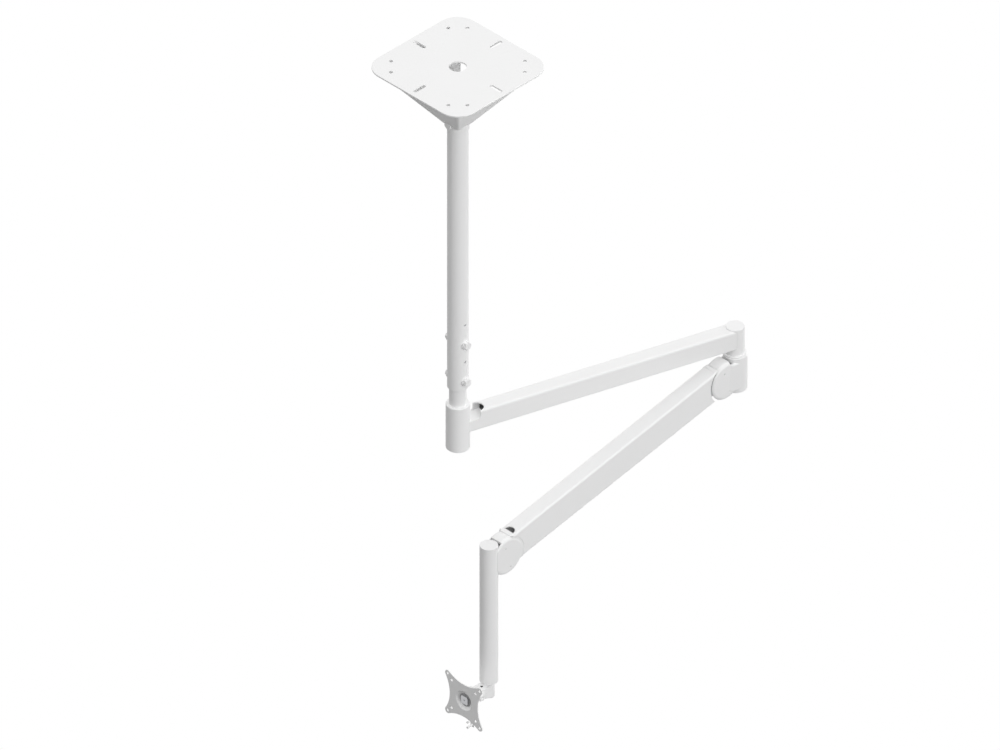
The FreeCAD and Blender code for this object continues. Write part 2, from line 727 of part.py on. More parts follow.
def lug_flanks():
    """Flat flanks that run on from a lug's sides, tangent to the sleeve behind it."""
    run = LUG_FROM_ELBOW - FLANK_START
    distance = math.hypot(HALF_LUG, run)
    heading = math.atan2(run, -HALF_LUG) - math.asin(SLEEVE_R / distance)
    length = math.sqrt(distance ** 2 - SLEEVE_R ** 2)
    touch_x = HALF_LUG + length * math.cos(heading)
    touch_y = FLANK_START + length * math.sin(heading)
    outline = [Vector(-HALF_LUG, FLANK_START, -FLANK_HALF), Vector(HALF_LUG, FLANK_START, -FLANK_HALF),
               Vector(touch_x, touch_y, -FLANK_HALF), Vector(-touch_x, touch_y, -FLANK_HALF)]
    body = prism(outline, Vector(0, 0, 2 * FLANK_HALF))
    edges = [edge for edge in body.Edges if edge.BoundBox.ZLength < SPINDLE_PLAY
             and edge.BoundBox.XLength < HALF_LUG]
    return body.makeFillet(FLANK_EDGE, edges)


def elbow_knuckle():
    """Cast knuckle: a sleeve under the elbow with a hollow round lug in front."""
    lug = rounded_disc(LUG_R, HALF_LUG, LUG_EDGE).fuse(lug_flanks())
    sleeve = upright(SLEEVE_R, -LUG_R, LUG_R, 0, LUG_FROM_ELBOW)
    cavity = crossways(CAVITY_R, -CAVITY_HALF, CAVITY_HALF).cut(sleeve)
    opening = mouth(*UPPER_MOUTH).cut(sleeve)
    slot = block((-CAVITY_HALF, CAVITY_HALF), (KNUCKLE_SLOT_START, LUG_FROM_ELBOW), (0, LUG_R))
    step = block((-SLEEVE_R, SLEEVE_R), (KNUCKLE_SLOT_START, LUG_FROM_ELBOW), (FLANK_HALF, LUG_R))
    lug = lug.cut([cavity, opening, slot.cut(sleeve), step])
    anchor = crossways(ANCHOR_PIN_R, -HALF_LUG, PIN_END, 0, -ANCHOR_OFFSET)
    lug = lug.cut(pin_ways() + [anchor] + cover_screw_ways())
    lug = moved(lug, y=-LUG_FROM_ELBOW, z=PIVOT_Z)
    inside = (SLEEVE_R + SLEEVE_BORE_R) / 2
    lug = lug.cut(upright(inside, KNUCKLE_FOOT - LUG_R, KNUCKLE_TOP + LUG_R))
    body = swivel_sleeve(KNUCKLE_TOP, KNUCKLE_FOOT).fuse(lug)
    return at_elbow(body)


def post_lug():
    """Cast lug welded to the drop post, hollow and open towards the arm."""
    lug = rounded_disc(LUG_R, HALF_LUG, LUG_EDGE)
    post = upright(POST_R, -LUG_R, LUG_R, 0, -LUG_FROM_POST)
    behind = block((-HALF_LUG, HALF_LUG), (-2 * LUG_R, -LUG_FROM_POST), (-LUG_R, LUG_R))
    cavity = crossways(CAVITY_R, -CAVITY_HALF, CAVITY_HALF)
    opening = turned(mouth(*LOWER_MOUTH), ALONG_Z, 180)
    slot = block((-CAVITY_HALF, CAVITY_HALF), (-LUG_FROM_POST, -POST_SLOT_START), (0, LUG_R))
    lug = lug.cut([cavity, opening, slot, post, behind] + pin_ways() + cover_screw_ways())
    return at_point(lug, lower_pivot())


def pin_between_cheeks(radius, z):
    """Headless pin across a lug, pressed in from the -X side."""
    return crossways(radius, -HALF_LUG, PIN_END, 0, z)


def pivot_pin(place):
    """Main pivot pin of one end of the sprung arm."""
    return at_point(pin_between_cheeks(PIVOT_PIN_R, 0), place)


def link_pin(place):
    """Pin of the parallel link in one lug."""
    return at_point(pin_between_cheeks(LINK_PIN_R, LINK_OFFSET), place)


def anchor_pin():
    """Pin in the knuckle that the gas strut pushes against."""
    return at_point(pin_between_cheeks(ANCHOR_PIN_R, -ANCHOR_OFFSET), upper_pivot())


def cover_screws(place):
    """Screw heads sunk in a lug's side."""
    screws = []
    for y, z in COVER_SCREWS:
        body = crossways(COVER_SCREW_R, HALF_LUG - LUG_CHEEK / 2, HALF_LUG - COVER_SCREW_SUNK, y, z)
        screws.append(at_point(body, place))
    return Part.makeCompound(screws)


# Sprung arm, modelled along -Y from its upper pivot

def arm_box(inset):
    """The arm's section pushed from pivot to pivot, shrunk by an inset."""
    radius = SPRING_CORNER - inset if inset else SPRING_CORNER
    return rounded_block((inset - HALF_LUG, HALF_LUG - inset), (-SPRING_LENGTH, 0),
                         (inset - SPRING_BELOW, SPRING_ABOVE - inset), radius, ALONG_Y)


def arm_ends():
    """Round cutters that keep the arm clear of the two lugs."""
    return [crossways(LUG_R + UPPER_END_GAP, -HALF_LUG, HALF_LUG),
            crossways(LUG_R + LOWER_END_GAP, -HALF_LUG, HALF_LUG, -SPRING_LENGTH)]


def floor_slab():
    """Space of the arm's floor plate, between its side walls."""
    return block((SPRING_WALL - HALF_LUG, HALF_LUG - SPRING_WALL), (-SPRING_LENGTH, 0),
                 (-SPRING_BELOW, SPRING_WALL - SPRING_BELOW))


def arm_cover():
    """Top and sides of the arm in one folded channel, with a cable hole near the lower end."""
    hole_y = CABLE_HOLE_START - SPRING_LENGTH
    hole = upright(CABLE_HOLE_HALF, SPRING_ABOVE - 2 * SPRING_WALL, SPRING_ABOVE, 0, hole_y)
    hole = hole.cut(block((-HALF_LUG, HALF_LUG), (-SPRING_LENGTH, hole_y), (0, SPRING_ABOVE)))
    body = arm_box(0).cut([arm_box(SPRING_WALL), hole, floor_slab()] + arm_ends())
    return on_spring_arm(body)


def arm_floor():
    """Plate that closes the arm from below, let in between its sides."""
    return on_spring_arm(floor_slab().common(arm_box(0)).cut(arm_ends()))


def yoke():
    """Two cheeks and a web that carry the pivot inside one end of the arm."""
    outer = CAVITY_HALF - YOKE_SIDE_GAP
    inner = outer - YOKE_PLATE
    wall = HALF_LUG - SPRING_WALL
    pieces = []
    for side in (-1, 1):
        spans = sorted((side * inner, side * outer))
        pads = sorted((side * inner, side * wall))
        pieces.append(crossways(YOKE_EYE_R, spans[0], spans[1]))
        pieces.append(block(spans, (-YOKE_PAD_START, 0), (-YOKE_EYE_R, YOKE_EYE_R)))
        pieces.append(block(pads, (-YOKE_LENGTH, -YOKE_PAD_START), (-YOKE_EYE_R, YOKE_EYE_R)))
    pieces.append(block((-inner, inner), (-YOKE_LENGTH, -YOKE_PAD_START), (-YOKE_WEB_H / 2, YOKE_WEB_H / 2)))
    body = pieces[0].fuse(pieces[1:]).removeSplitter()
    return body.cut(crossways(PIVOT_PIN_R + PIVOT_PLAY, -HALF_LUG, HALF_LUG))


def anchor_way():
    """Curved recess about the pivot in which the strut's anchor pin swings."""
    outer = ANCHOR_OFFSET + ANCHOR_PIN_R + ANCHOR_CLEAR
    inner = ANCHOR_OFFSET - ANCHOR_PIN_R - ANCHOR_CLEAR
    band = crossways(outer, -HALF_LUG, HALF_LUG).cut(crossways(inner, -HALF_LUG, HALF_LUG))
    points = [Vector(-HALF_LUG, 0, 0)]
    for angle in ANCHOR_SWEEP:
        reach = 2 * outer
        points.append(Vector(-HALF_LUG, -reach * math.cos(math.radians(angle)),
                             -reach * math.sin(math.radians(angle))))
    return band.common(prism(points, Vector(LUG_WIDTH, 0, 0)))


def upper_yoke():
    """Yoke at the knuckle, recessed for the anchor pin."""
    return on_spring_arm(yoke().cut(anchor_way()))


def lower_yoke():
    """Yoke at the drop post."""
    return on_spring_arm(moved(turned(yoke(), ALONG_Z, 180), y=-SPRING_LENGTH))


def link_frame(shape):
    """From a frame on the upper link pin, along the arm, to its place."""
    return at_point(turned(shape, ALONG_X, SPRING_TILT), upper_pivot() + Vector(0, 0, LINK_OFFSET))


def parallel_link():
    """Rod with an eye at each end that keeps the drop post upright."""
    body = lengthways(LINK_ROD_R, -SPRING_LENGTH, 0)
    half = LINK_EYE_WIDTH / 2
    for y in (0, -SPRING_LENGTH):
        body = body.fuse(crossways(LINK_EYE_R, -half, half, y))
    for y in (0, -SPRING_LENGTH):
        body = body.cut(crossways(LINK_PIN_R + PIVOT_PLAY, -half, half, y))
    return link_frame(body)


def strut_line():
    """Strut's direction in the arm's frame: its far end and its angle and length there."""
    tilt = math.radians(SPRING_TILT)
    near = Vector(0, -ANCHOR_OFFSET * math.sin(tilt), -ANCHOR_OFFSET * math.cos(tilt))
    far = Vector(0, -STRUT_LENGTH, -STRUT_DROP)
    run = far - near
    angle = math.degrees(math.atan2(run.z, -run.y))
    return far, angle, run.Length


def in_strut(shape):
    """From a frame at the strut's far pin, running +Y towards the knuckle, to its place."""
    far, angle, length = strut_line()
    return on_spring_arm(at_point(turned(shape, ALONG_X, -angle), far))


def strut_cylinder():
    """Body of the gas strut, with an eye on the arm's cross pin."""
    half = STRUT_EYE_WIDTH / 2
    mouth_y = STRUT_NECK + STRUT_BODY_LENGTH
    body = lengthways(STRUT_BODY_R, STRUT_NECK, mouth_y)
    body = body.fuse([crossways(STRUT_EYE_R, -half, half), lengthways(STRUT_ROD_R, 0, STRUT_NECK)])
    bore_y = mouth_y - STRUT_ROD_INSIDE - STRUT_BORE_SPARE
    return in_strut(body.cut([crossways(CROSS_PIN_R + PIVOT_PLAY, -half, half),
                              lengthways(STRUT_ROD_R + PIVOT_PLAY, bore_y, mouth_y)]))


def strut_rod():
    """Rod of the gas strut, with a loose eye on the knuckle's anchor pin."""
    length = strut_line()[2]
    half = STRUT_EYE_WIDTH / 2
    start = STRUT_NECK + STRUT_BODY_LENGTH - STRUT_ROD_INSIDE
    body = lengthways(STRUT_ROD_R, start, length).fuse(crossways(ROD_EYE_R, -half, half, length))
    return in_strut(body.cut(crossways(ANCHOR_PIN_R + ROD_EYE_PLAY, -half, half, length)))


def strut_cross_pin():
    """Pin across the arm that carries the strut's far end."""
    wall = HALF_LUG - SPRING_WALL
    return on_spring_arm(crossways(CROSS_PIN_R, -wall, wall, -STRUT_LENGTH, -STRUT_DROP))


# Drop post and head, modelled about the post's axis

def drop_post():
    """Round tube that hangs from the arm's end."""
    return at_post(ring(POST_R, POST_R - POST_WALL, POST_FOOT, POST_TOP - POST_CAP_H))


def post_cap():
    """Cover on top of the drop post."""
    body = upright(POST_R, POST_TOP - POST_CAP_H, POST_TOP)
    rim = [edge for edge in body.Edges if edge.BoundBox.ZMin > POST_TOP - 0.001]
    return at_post(body.makeFillet(CAP_EDGE, rim))


def post_plug():
    """Plug in the post's foot, tapped for the head's swivel screw."""
    body = ring(POST_R - POST_WALL, SWIVEL_SCREW_R, POST_FOOT, POST_FOOT + POST_PLUG_H)
    return at_post(body)


def swivel_block():
    """Link under the post: round behind, tapering forwards to the tilt barrel, with a key hole."""
    rear = HEAD_TOP - HEAD_REAR_H
    tilt_z = HEAD_TOP - TILT_DROP
    barrel = crossways(HEAD_FRONT_R, -HEAD_HALF, HEAD_HALF, -TILT_REACH, tilt_z)
    heel = upright(HEAD_HALF, rear, HEAD_TOP)
    points = [Vector(-HEAD_HALF, 0, rear), Vector(-HEAD_HALF, 0, HEAD_TOP - HEAD_STEP),
              Vector(-HEAD_HALF, -TILT_REACH, tilt_z + HEAD_FRONT_R),
              Vector(-HEAD_HALF, -TILT_REACH, tilt_z - HEAD_FRONT_R)]
    body = prism(points, Vector(2 * HEAD_HALF, 0, 0)).fuse([barrel, heel]).removeSplitter()
    seat = rear + SWIVEL_SCREW_HEAD_H + SWIVEL_HEAD_SUNK
    head_way = upright(SWIVEL_SCREW_HEAD_R + SWIVEL_HEAD_PLAY, rear, seat)
    key_hole = upright(KEY_HOLE_R, HEAD_TOP - KEY_HOLE_DEPTH, HEAD_TOP, 0, -KEY_HOLE_REACH)
    body = body.cut([crossways(TILT_BOLT_R, -HEAD_HALF, HEAD_HALF, -TILT_REACH, tilt_z),
                     upright(SWIVEL_SCREW_R, rear, HEAD_TOP), head_way, key_hole])
    return at_post(body)


def swivel_screw():
    """Screw up through the link into the post's plug."""
    seat = HEAD_TOP - HEAD_REAR_H + SWIVEL_SCREW_HEAD_H + SWIVEL_HEAD_SUNK
    body = upright(SWIVEL_SCREW_HEAD_R, seat - SWIVEL_SCREW_HEAD_H, seat)
    return at_post(body.fuse(upright(SWIVEL_SCREW_R - PIVOT_PLAY, seat, POST_FOOT + SWIVEL_SCREW_END)))


def in_head(shape):
    """From a frame on the tilt axis to its place."""
    return at_post(moved(shape, y=-TILT_REACH, z=HEAD_TOP - TILT_DROP))


def screen_back():
    """Distance from the tilt axis to the back of the screen plate's dish."""
    return SCREEN_REACH - TILT_REACH - SCREEN_SHEET - DISH_DEPTH


def tilt_yoke():
    """Two ears on a round back, between the tilt barrel and the screen plate."""
    back = -screen_back()
    inner = HEAD_HALF + EAR_GAP
    outer = inner + EAR_THICK
    pieces = [lengthways(YOKE_BACK_R, back, back + YOKE_BACK_H)]
    for side in (-1, 1):
        span = sorted((side * inner, side * outer))
        pieces.append(crossways(EAR_R, span[0], span[1]))
        pieces.append(block(span, (back + YOKE_BACK_H / 2, 0), (-EAR_HALF_HEIGHT, EAR_HALF_HEIGHT)))
    body = pieces[0].fuse(pieces[1:]).removeSplitter()
    bolt_way = crossways(TILT_BOLT_R, -outer, outer)
    return in_head(body.cut([bolt_way, lengthways(CENTRE_SCREW_R, back, back + YOKE_BACK_H)]))


def tilt_bolt():
    """Bolt along the tilt axis."""
    seat = HEAD_HALF + EAR_GAP + EAR_THICK
    body = crossways(TILT_BOLT_R - PIVOT_PLAY, -seat - TILT_HEAD_H, seat)
    body = body.fuse(crossways(TILT_HEAD_R, seat, seat + TILT_HEAD_H))
    head = seat + TILT_HEAD_H
    return in_head(body.cut(hexagon(TILT_SOCKET_R, head - TILT_SOCKET_DEPTH, head)))


def tilt_nut():
    """Nut on the tilt bolt."""
    seat = HEAD_HALF + EAR_GAP + EAR_THICK
    body = hexagon(TILT_HEAD_R, -seat - TILT_HEAD_H, -seat)
    return in_head(body.cut(crossways(TILT_BOLT_R, -seat - TILT_HEAD_H, -seat)))


def screen_frame(shape):
    """From the screen plate's frame, its front face at y = 0, to its place."""
    return in_head(moved(shape, y=TILT_REACH - SCREEN_REACH))


def screen_outline():
    """Four rounded tips joined by hollow sides, each side one arc."""
    half = SCREEN_PITCH / 2
    hollow = (half ** 2 + (SCREEN_WAIST - half) ** 2 - SCREEN_TIP_R ** 2) / (
        2 * (SCREEN_TIP_R - SCREEN_WAIST + half))
    reach = hollow + SCREEN_TIP_R
    touch_x = half - SCREEN_TIP_R * half / reach
    touch_z = half + SCREEN_TIP_R * (SCREEN_WAIST + hollow - half) / reach
    tip = half + SCREEN_TIP_R * math.sqrt(0.5)
    side = Part.Arc(Vector(-touch_x, 0, touch_z), Vector(0, 0, SCREEN_WAIST), Vector(touch_x, 0, touch_z))
    corner = Part.Arc(Vector(touch_x, 0, touch_z), Vector(tip, 0, tip), Vector(touch_z, 0, touch_x))
    edges = []
    for quarter in range(4):
        edges.append(turned(side.toShape(), ALONG_Y, 90 * quarter))
        edges.append(turned(corner.toShape(), ALONG_Y, 90 * quarter))
    return Part.Wire(Part.__sortEdges__(edges))


def vesa_plate():
    """Pressed screen plate with a dished centre, a square seat and two hole patterns."""
    body = Part.Face(screen_outline()).extrude(Vector(0, SCREEN_SHEET, 0))
    floor = DISH_DEPTH
    body = body.cut(lengthways(DISH_R + SCREEN_SHEET / 2, 0, SCREEN_SHEET))
    dish = spun([Vector(DISH_R, 0, 0), Vector(DISH_R + SCREEN_SHEET, 0, 0),
                 Vector(DISH_R + SCREEN_SHEET, SCREEN_SHEET, 0),
                 Vector(DISH_FLOOR_R + SCREEN_SHEET, floor + SCREEN_SHEET, 0),
                 Vector(0.0, floor + SCREEN_SHEET, 0), Vector(0.0, floor, 0),
                 Vector(DISH_FLOOR_R, floor, 0)], ALONG_Y)
    body = body.fuse(dish).removeSplitter()
    holes = [lengthways(CENTRE_SCREW_R, 0, floor + SCREEN_SHEET)]
    for pitch in (SCREEN_PITCH, SCREEN_PITCH_SMALL):
        for x in (-pitch / 2, pitch / 2):
            for z in (-pitch / 2, pitch / 2):
                holes.append(lengthways(SCREEN_HOLE_R, 0, SCREEN_SHEET, x, z))
    return screen_frame(body.cut(holes))


def centre_washer():
    """Plastic seat in the dish that the screw's head bears on."""
    body = lengthways(SEAT_R, DISH_DEPTH - SEAT_H, DISH_DEPTH)
    return screen_frame(body.cut(lengthways(CENTRE_SCREW_R, DISH_DEPTH - SEAT_H, DISH_DEPTH)))


def centre_screw():
    """Screw with a square head that holds the plate to the tilt yoke and lets it turn."""
    seat = DISH_DEPTH - SEAT_H
    front = seat - CENTRE_HEAD_H
    end = DISH_DEPTH + SCREEN_SHEET + YOKE_BACK_H
    span = (-CENTRE_HEAD_HALF, CENTRE_HEAD_HALF)
    body = rounded_block(span, (front, seat), span, CENTRE_HEAD_CORNER, ALONG_Y)
    body = body.fuse(lengthways(CENTRE_SCREW_R - PIVOT_PLAY, seat, end))
    socket = moved(turned(hexagon(CENTRE_SOCKET_R, 0, CENTRE_SOCKET_DEPTH), ALONG_Z, 90), y=front)
    return screen_frame(body.cut(socket))


def cable_clip():
    """Bent strip behind the plate that carries two short tubes for cable ties."""
    half = CLIP_WIDTH / 2
    rear = CLIP_BACK + CLIP_SHEET
    body = block((-half, half), (SCREEN_SHEET, SCREEN_SHEET + CLIP_SHEET), (-CLIP_BEND, -CLIP_START))
    leg = block((-half, half), (SCREEN_SHEET, rear), (-CLIP_BEND - CLIP_SHEET, -CLIP_BEND))
    tail = block((-half, half), (CLIP_BACK, rear), (-CLIP_END, -CLIP_BEND))
    tubes = [lengthways(CLIP_TUBE_R, CLIP_TUBE_FRONT, CLIP_BACK, 0, -drop) for drop in CLIP_TUBE_DROPS]
    bores = [lengthways(CLIP_TUBE_BORE, CLIP_TUBE_FRONT, CLIP_BACK, 0, -drop) for drop in CLIP_TUBE_DROPS]
    return screen_frame(body.fuse([leg, tail] + tubes).removeSplitter().cut(bores))


# Every sub-part under its own name

SUB_PARTS = {
    "ceiling_plate": ceiling_plate,
    "plate_hopper": plate_hopper,
    "mast_collar": mast_collar,
    "collar_screw": collar_screw,
    "collar_nut": collar_nut,
    "mast_tube_outer": mast_tube_outer,
    "mast_tube_inner": mast_tube_inner,
    "height_bolts": height_bolts,
    "height_nuts": height_nuts,
    "height_washers": height_washers,
    "grub_screws": grub_screws,
    "mast_end_plug": mast_end_plug,
    "mast_thrust_washer": lambda: thrust_washer(HUB_FOOT),
    "mast_stop_disc": lambda: on_extension(stop_disc(HUB_FOOT)),
    "mast_end_screw": lambda: end_screw(HUB_FOOT),
    "extension_hub": lambda: on_extension(swivel_sleeve(HUB_TOP, HUB_FOOT)),
    "hub_bush_upper": lambda: bush(HUB_TOP - BUSH_LENGTH),
    "hub_bush_lower": lambda: bush_lower(HUB_FOOT),
    "hub_stop_pin": lambda: on_extension(stop_pin(HUB_FOOT)),
    "hub_end_cap": lambda: end_cap(HUB_FOOT),
    "extension_tube": extension_tube,
    "elbow_spindle": elbow_spindle,
    "elbow_cap": elbow_cap,
    "elbow_thrust_washer": lambda: at_elbow(thrust_washer(KNUCKLE_FOOT)),
    "elbow_stop_disc": lambda: at_elbow(turned(stop_disc(KNUCKLE_FOOT), ALONG_Z, 180 - EXTENSION_TURN)),
    "elbow_end_screw": lambda: at_elbow(end_screw(KNUCKLE_FOOT)),
    "elbow_knuckle": elbow_knuckle,
    "elbow_bush_upper": lambda: at_elbow(bush_upper(KNUCKLE_TOP)),
    "elbow_bush_lower": lambda: at_elbow(bush_lower(KNUCKLE_FOOT)),
    "elbow_stop_pin": lambda: at_elbow(stop_pin(KNUCKLE_FOOT)),
    "knuckle_end_cap": lambda: at_elbow(end_cap(KNUCKLE_FOOT)),
    "upper_pivot_pin": lambda: pivot_pin(upper_pivot()),
    "upper_link_pin": lambda: link_pin(upper_pivot()),
    "strut_anchor_pin": anchor_pin,
    "knuckle_screws": lambda: cover_screws(upper_pivot()),
    "arm_cover": arm_cover,
    "arm_floor": arm_floor,
    "upper_yoke": upper_yoke,
    "lower_yoke": lower_yoke,
    "strut_cross_pin": strut_cross_pin,
    "parallel_link": parallel_link,
    "strut_cylinder": strut_cylinder,
    "strut_rod": strut_rod,
    "post_lug": post_lug,
    "lower_pivot_pin": lambda: pivot_pin(lower_pivot()),
    "lower_link_pin": lambda: link_pin(lower_pivot()),
    "lug_screws": lambda: cover_screws(lower_pivot()),
    "drop_post": drop_post,
    "post_cap": post_cap,
    "post_plug": post_plug,
    "swivel_block": swivel_block,
    "swivel_screw": swivel_screw,
    "tilt_yoke": tilt_yoke,
    "tilt_bolt": tilt_bolt,
    "tilt_nut": tilt_nut,
    "vesa_plate": vesa_plate,
    "centre_washer": centre_washer,
    "centre_screw": centre_screw,
    "cable_clip": cable_clip,
}


def export_all():
    """Write one STEP file for each sub-part."""
    os.makedirs("parts", exist_ok=True)
    for name, build in SUB_PARTS.items():
        shape = build()
        shape.exportStep(f"parts/{name}.step")
        print(name, "solids", len(shape.Solids), "valid", shape.isValid(), "volume", round(shape.Volume, 1))


export_all()
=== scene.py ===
# %% [markdown]
# # Ceiling mount for a monitor
# The mount hangs from the ceiling: a plate with a folded hopper, a telescopic mast, a level arm, a sprung
# arm, a drop post and a screen plate. Its solids come from the CAD model, in metres, with the origin at
# the middle of the ceiling plate's top face. This file adds the finishes, the screws, the weld beads and
# the closing pieces at the arm's ends, and lights the scene.

# %% Load the CAD model
import json
import math

import bpy
import bmesh
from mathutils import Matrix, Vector


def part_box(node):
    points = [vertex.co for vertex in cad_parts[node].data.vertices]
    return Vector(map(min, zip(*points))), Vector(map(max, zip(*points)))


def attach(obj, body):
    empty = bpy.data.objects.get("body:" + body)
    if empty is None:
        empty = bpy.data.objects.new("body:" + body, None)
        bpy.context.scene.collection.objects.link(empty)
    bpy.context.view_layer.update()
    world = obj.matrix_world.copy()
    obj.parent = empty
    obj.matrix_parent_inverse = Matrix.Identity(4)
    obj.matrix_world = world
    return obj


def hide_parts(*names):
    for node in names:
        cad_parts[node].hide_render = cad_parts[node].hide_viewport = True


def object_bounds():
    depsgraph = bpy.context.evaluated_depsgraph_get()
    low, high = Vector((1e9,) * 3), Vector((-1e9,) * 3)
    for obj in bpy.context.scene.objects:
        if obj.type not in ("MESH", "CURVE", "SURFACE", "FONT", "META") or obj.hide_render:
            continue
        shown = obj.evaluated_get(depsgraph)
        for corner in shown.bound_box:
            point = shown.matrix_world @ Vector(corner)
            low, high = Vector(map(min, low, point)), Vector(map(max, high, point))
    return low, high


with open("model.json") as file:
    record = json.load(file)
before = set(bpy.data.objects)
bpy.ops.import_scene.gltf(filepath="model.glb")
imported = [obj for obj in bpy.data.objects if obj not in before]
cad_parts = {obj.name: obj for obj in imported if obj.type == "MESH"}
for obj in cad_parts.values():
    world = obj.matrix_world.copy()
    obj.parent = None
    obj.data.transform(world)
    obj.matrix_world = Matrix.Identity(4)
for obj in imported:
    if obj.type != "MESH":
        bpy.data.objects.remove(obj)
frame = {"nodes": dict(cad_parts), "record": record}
nodes = frame["nodes"]
cad_low, cad_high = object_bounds()
print("CAD box", [round(v, 3) for v in cad_low], [round(v, 3) for v in cad_high])

# %% [markdown]
# ## Where the main axes are
# The added pieces get their places from the CAD nodes' own boxes. A round node's axis is the middle of
# its box. A size that no box gives, such as a wall or a rounded corner, is a named value in the cell that
# needs it.

# %% Axes and levels of the main nodes


def middle(node):
    """Centre of a CAD node's box."""
    low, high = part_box(node)
    return (Vector(low) + Vector(high)) / 2


ELBOW = middle("elbow_cap")
POST = middle("post_cap")
UPPER_PIVOT = middle("upper_pivot_pin")
LOWER_PIVOT = middle("lower_pivot_pin")
ARM_TURN = math.atan2(ELBOW.x, ELBOW.y)
ARM_TILT = math.atan2(UPPER_PIVOT.z - LOWER_PIVOT.z, UPPER_PIVOT.y - LOWER_PIVOT.y)
print("arm turn", round(math.degrees(ARM_TURN), 2), "arm tilt", round(math.degrees(ARM_TILT), 2))

# %% [markdown]
# ## Camera
# The photograph is a parallel view along the diagonal of a cube, so the camera is orthographic. It looks
# from +X, -Y and above, with all three axes at the same angle to the picture.

# %% Make the camera
AIM = Vector((0.3457, -0.2133, -0.5590))
BACK = Vector((1, -1, 1)).normalized()
VIEW_WIDTH = 2.2198
CAMERA_DISTANCE = 6.0
FARTHEST_SEEN = 20.0

camera_data = bpy.data.cameras.new("camera")
camera_data.type = "ORTHO"
camera_data.ortho_scale = VIEW_WIDTH
camera_data.clip_end = FARTHEST_SEEN
camera = bpy.data.objects.new("camera", camera_data)
bpy.context.scene.collection.objects.link(camera)
camera.location = AIM + BACK * CAMERA_DISTANCE
camera.rotation_mode = "QUATERNION"
camera.rotation_quaternion = (-BACK).to_track_quat("-Z", "Y")
bpy.context.scene.camera = camera
print("view width", VIEW_WIDTH)

# %% [markdown]
# ## Floor and sky
# The background of the photograph is plain white, and almost no light comes from below. The floor is a
# large sheet far under the mount. Light Path shows it white to the camera and to reflections. For all
# other rays it is a dark matte that throws back little light, so that faces which look down stay dark.
# The sky gives a soft light from above and all round, and it is white to the camera too. Both mix two
# shaders by the kind of ray, so one helper does it.

# %% Two shaders, chosen by the kind of ray


def show_by_ray(tree, output_type, usual, seen, kinds):
    """Shows one shader to two kinds of ray, and the usual one to all others."""
    output = tree.nodes.new(output_type)
    path = tree.nodes.new("ShaderNodeLightPath")
    either = tree.nodes.new("ShaderNodeMath")
    either.operation = "MAXIMUM"
    mix = tree.nodes.new("ShaderNodeMixShader")
    for index, kind in enumerate(kinds):
        tree.links.new(path.outputs[kind], either.inputs[index])
    tree.links.new(either.outputs[0], mix.inputs["Fac"])
    tree.links.new(usual.outputs[0], mix.inputs[1])
    tree.links.new(seen.outputs[0], mix.inputs[2])
    tree.links.new(mix.outputs[0], output.inputs["Surface"])


# %% Build the floor
FLOOR_GREY = 0.11
FLOOR_SIZE = 120.0
FLOOR_DROP = 2.4


def stage_material():
    """White to the camera and to reflections, and a dark matte to all other light."""
    material = bpy.data.materials.new("stage_white")
    material.use_nodes = True
    tree = material.node_tree
    tree.nodes.clear()
    matte = tree.nodes.new("ShaderNodeBsdfDiffuse")
    matte.inputs["Color"].default_value = (FLOOR_GREY, FLOOR_GREY, FLOOR_GREY, 1)
    glow = tree.nodes.new("ShaderNodeEmission")
    glow.inputs["Strength"].default_value = 1.0
    show_by_ray(tree, "ShaderNodeOutputMaterial", matte, glow, ("Is Camera Ray", "Is Glossy Ray"))
    return material


floor_level = cad_low[2] - FLOOR_DROP
half = FLOOR_SIZE / 2
floor_corners = [(x, y, floor_level) for x, y in ((-half, -half), (half, -half), (half, half), (-half, half))]
floor_mesh = bpy.data.meshes.new("floor")
floor_mesh.from_pydata(floor_corners, [], [(0, 1, 2, 3)])
floor = bpy.data.objects.new("floor", floor_mesh)
bpy.context.scene.collection.objects.link(floor)
floor_mesh.materials.append(stage_material())
print("floor level", round(floor_level, 3))

# %% Build the sky
SKY_LEVEL = 0.72
world = bpy.data.worlds.new("sky")
world.use_nodes = True
bpy.context.scene.world = world
sky = world.node_tree
sky.nodes.clear()
sky_light = sky.nodes.new("ShaderNodeBackground")
sky_light.inputs["Color"].default_value = (1, 1, 1, 1)
sky_light.inputs["Strength"].default_value = SKY_LEVEL
sky_white = sky.nodes.new("ShaderNodeBackground")
sky_white.inputs["Color"].default_value = (1, 1, 1, 1)
show_by_ray(sky, "ShaderNodeOutputWorld", sky_light, sky_white, ("Is Camera Ray", "Is Transmission Ray"))

# %% [markdown]
# ## Lamps
# A sun lamp with a wide angle gives an even light without hot spots, whatever the distance, and its
# shadow is soft. The lamp from above has no shadow, as from a ceiling full of lamps, so that one arm
# hardly darkens the other. It leans away from the camera, which keeps the long rounded edges of the arms
# from shining. The second lamp lights the right sides. The last one shines from behind the screen, and
# the camera sees its light only inside the open hopper.

# %% Add the lamps
LAMP_DISTANCE = 4.0


def sun(name, heading, height, strength, width, shadow=True):
    """Sun lamp; its heading runs from +X towards +Y and its height is above the horizon, in degrees."""
    data = bpy.data.lights.new(name, "SUN")
    data.energy = strength
    data.angle = math.radians(width)
    data.use_shadow = shadow
    lamp = bpy.data.objects.new(name, data)
    bpy.context.scene.collection.objects.link(lamp)
    turn, rise = math.radians(heading), math.radians(height)
    towards = Vector((math.cos(turn) * math.cos(rise), math.sin(turn) * math.cos(rise), math.sin(rise)))
    lamp.rotation_mode = "QUATERNION"
    lamp.rotation_quaternion = towards.to_track_quat("Z", "Y")
    lamp.location = towards * LAMP_DISTANCE
    print(name, "strength", strength)


sun("top_lamp", heading=135, height=72, strength=0.73, width=10, shadow=False)
sun("side_lamp", heading=0, height=0, strength=1.78, width=30)
sun("back_lamp", heading=90, height=3, strength=0.80, width=30)

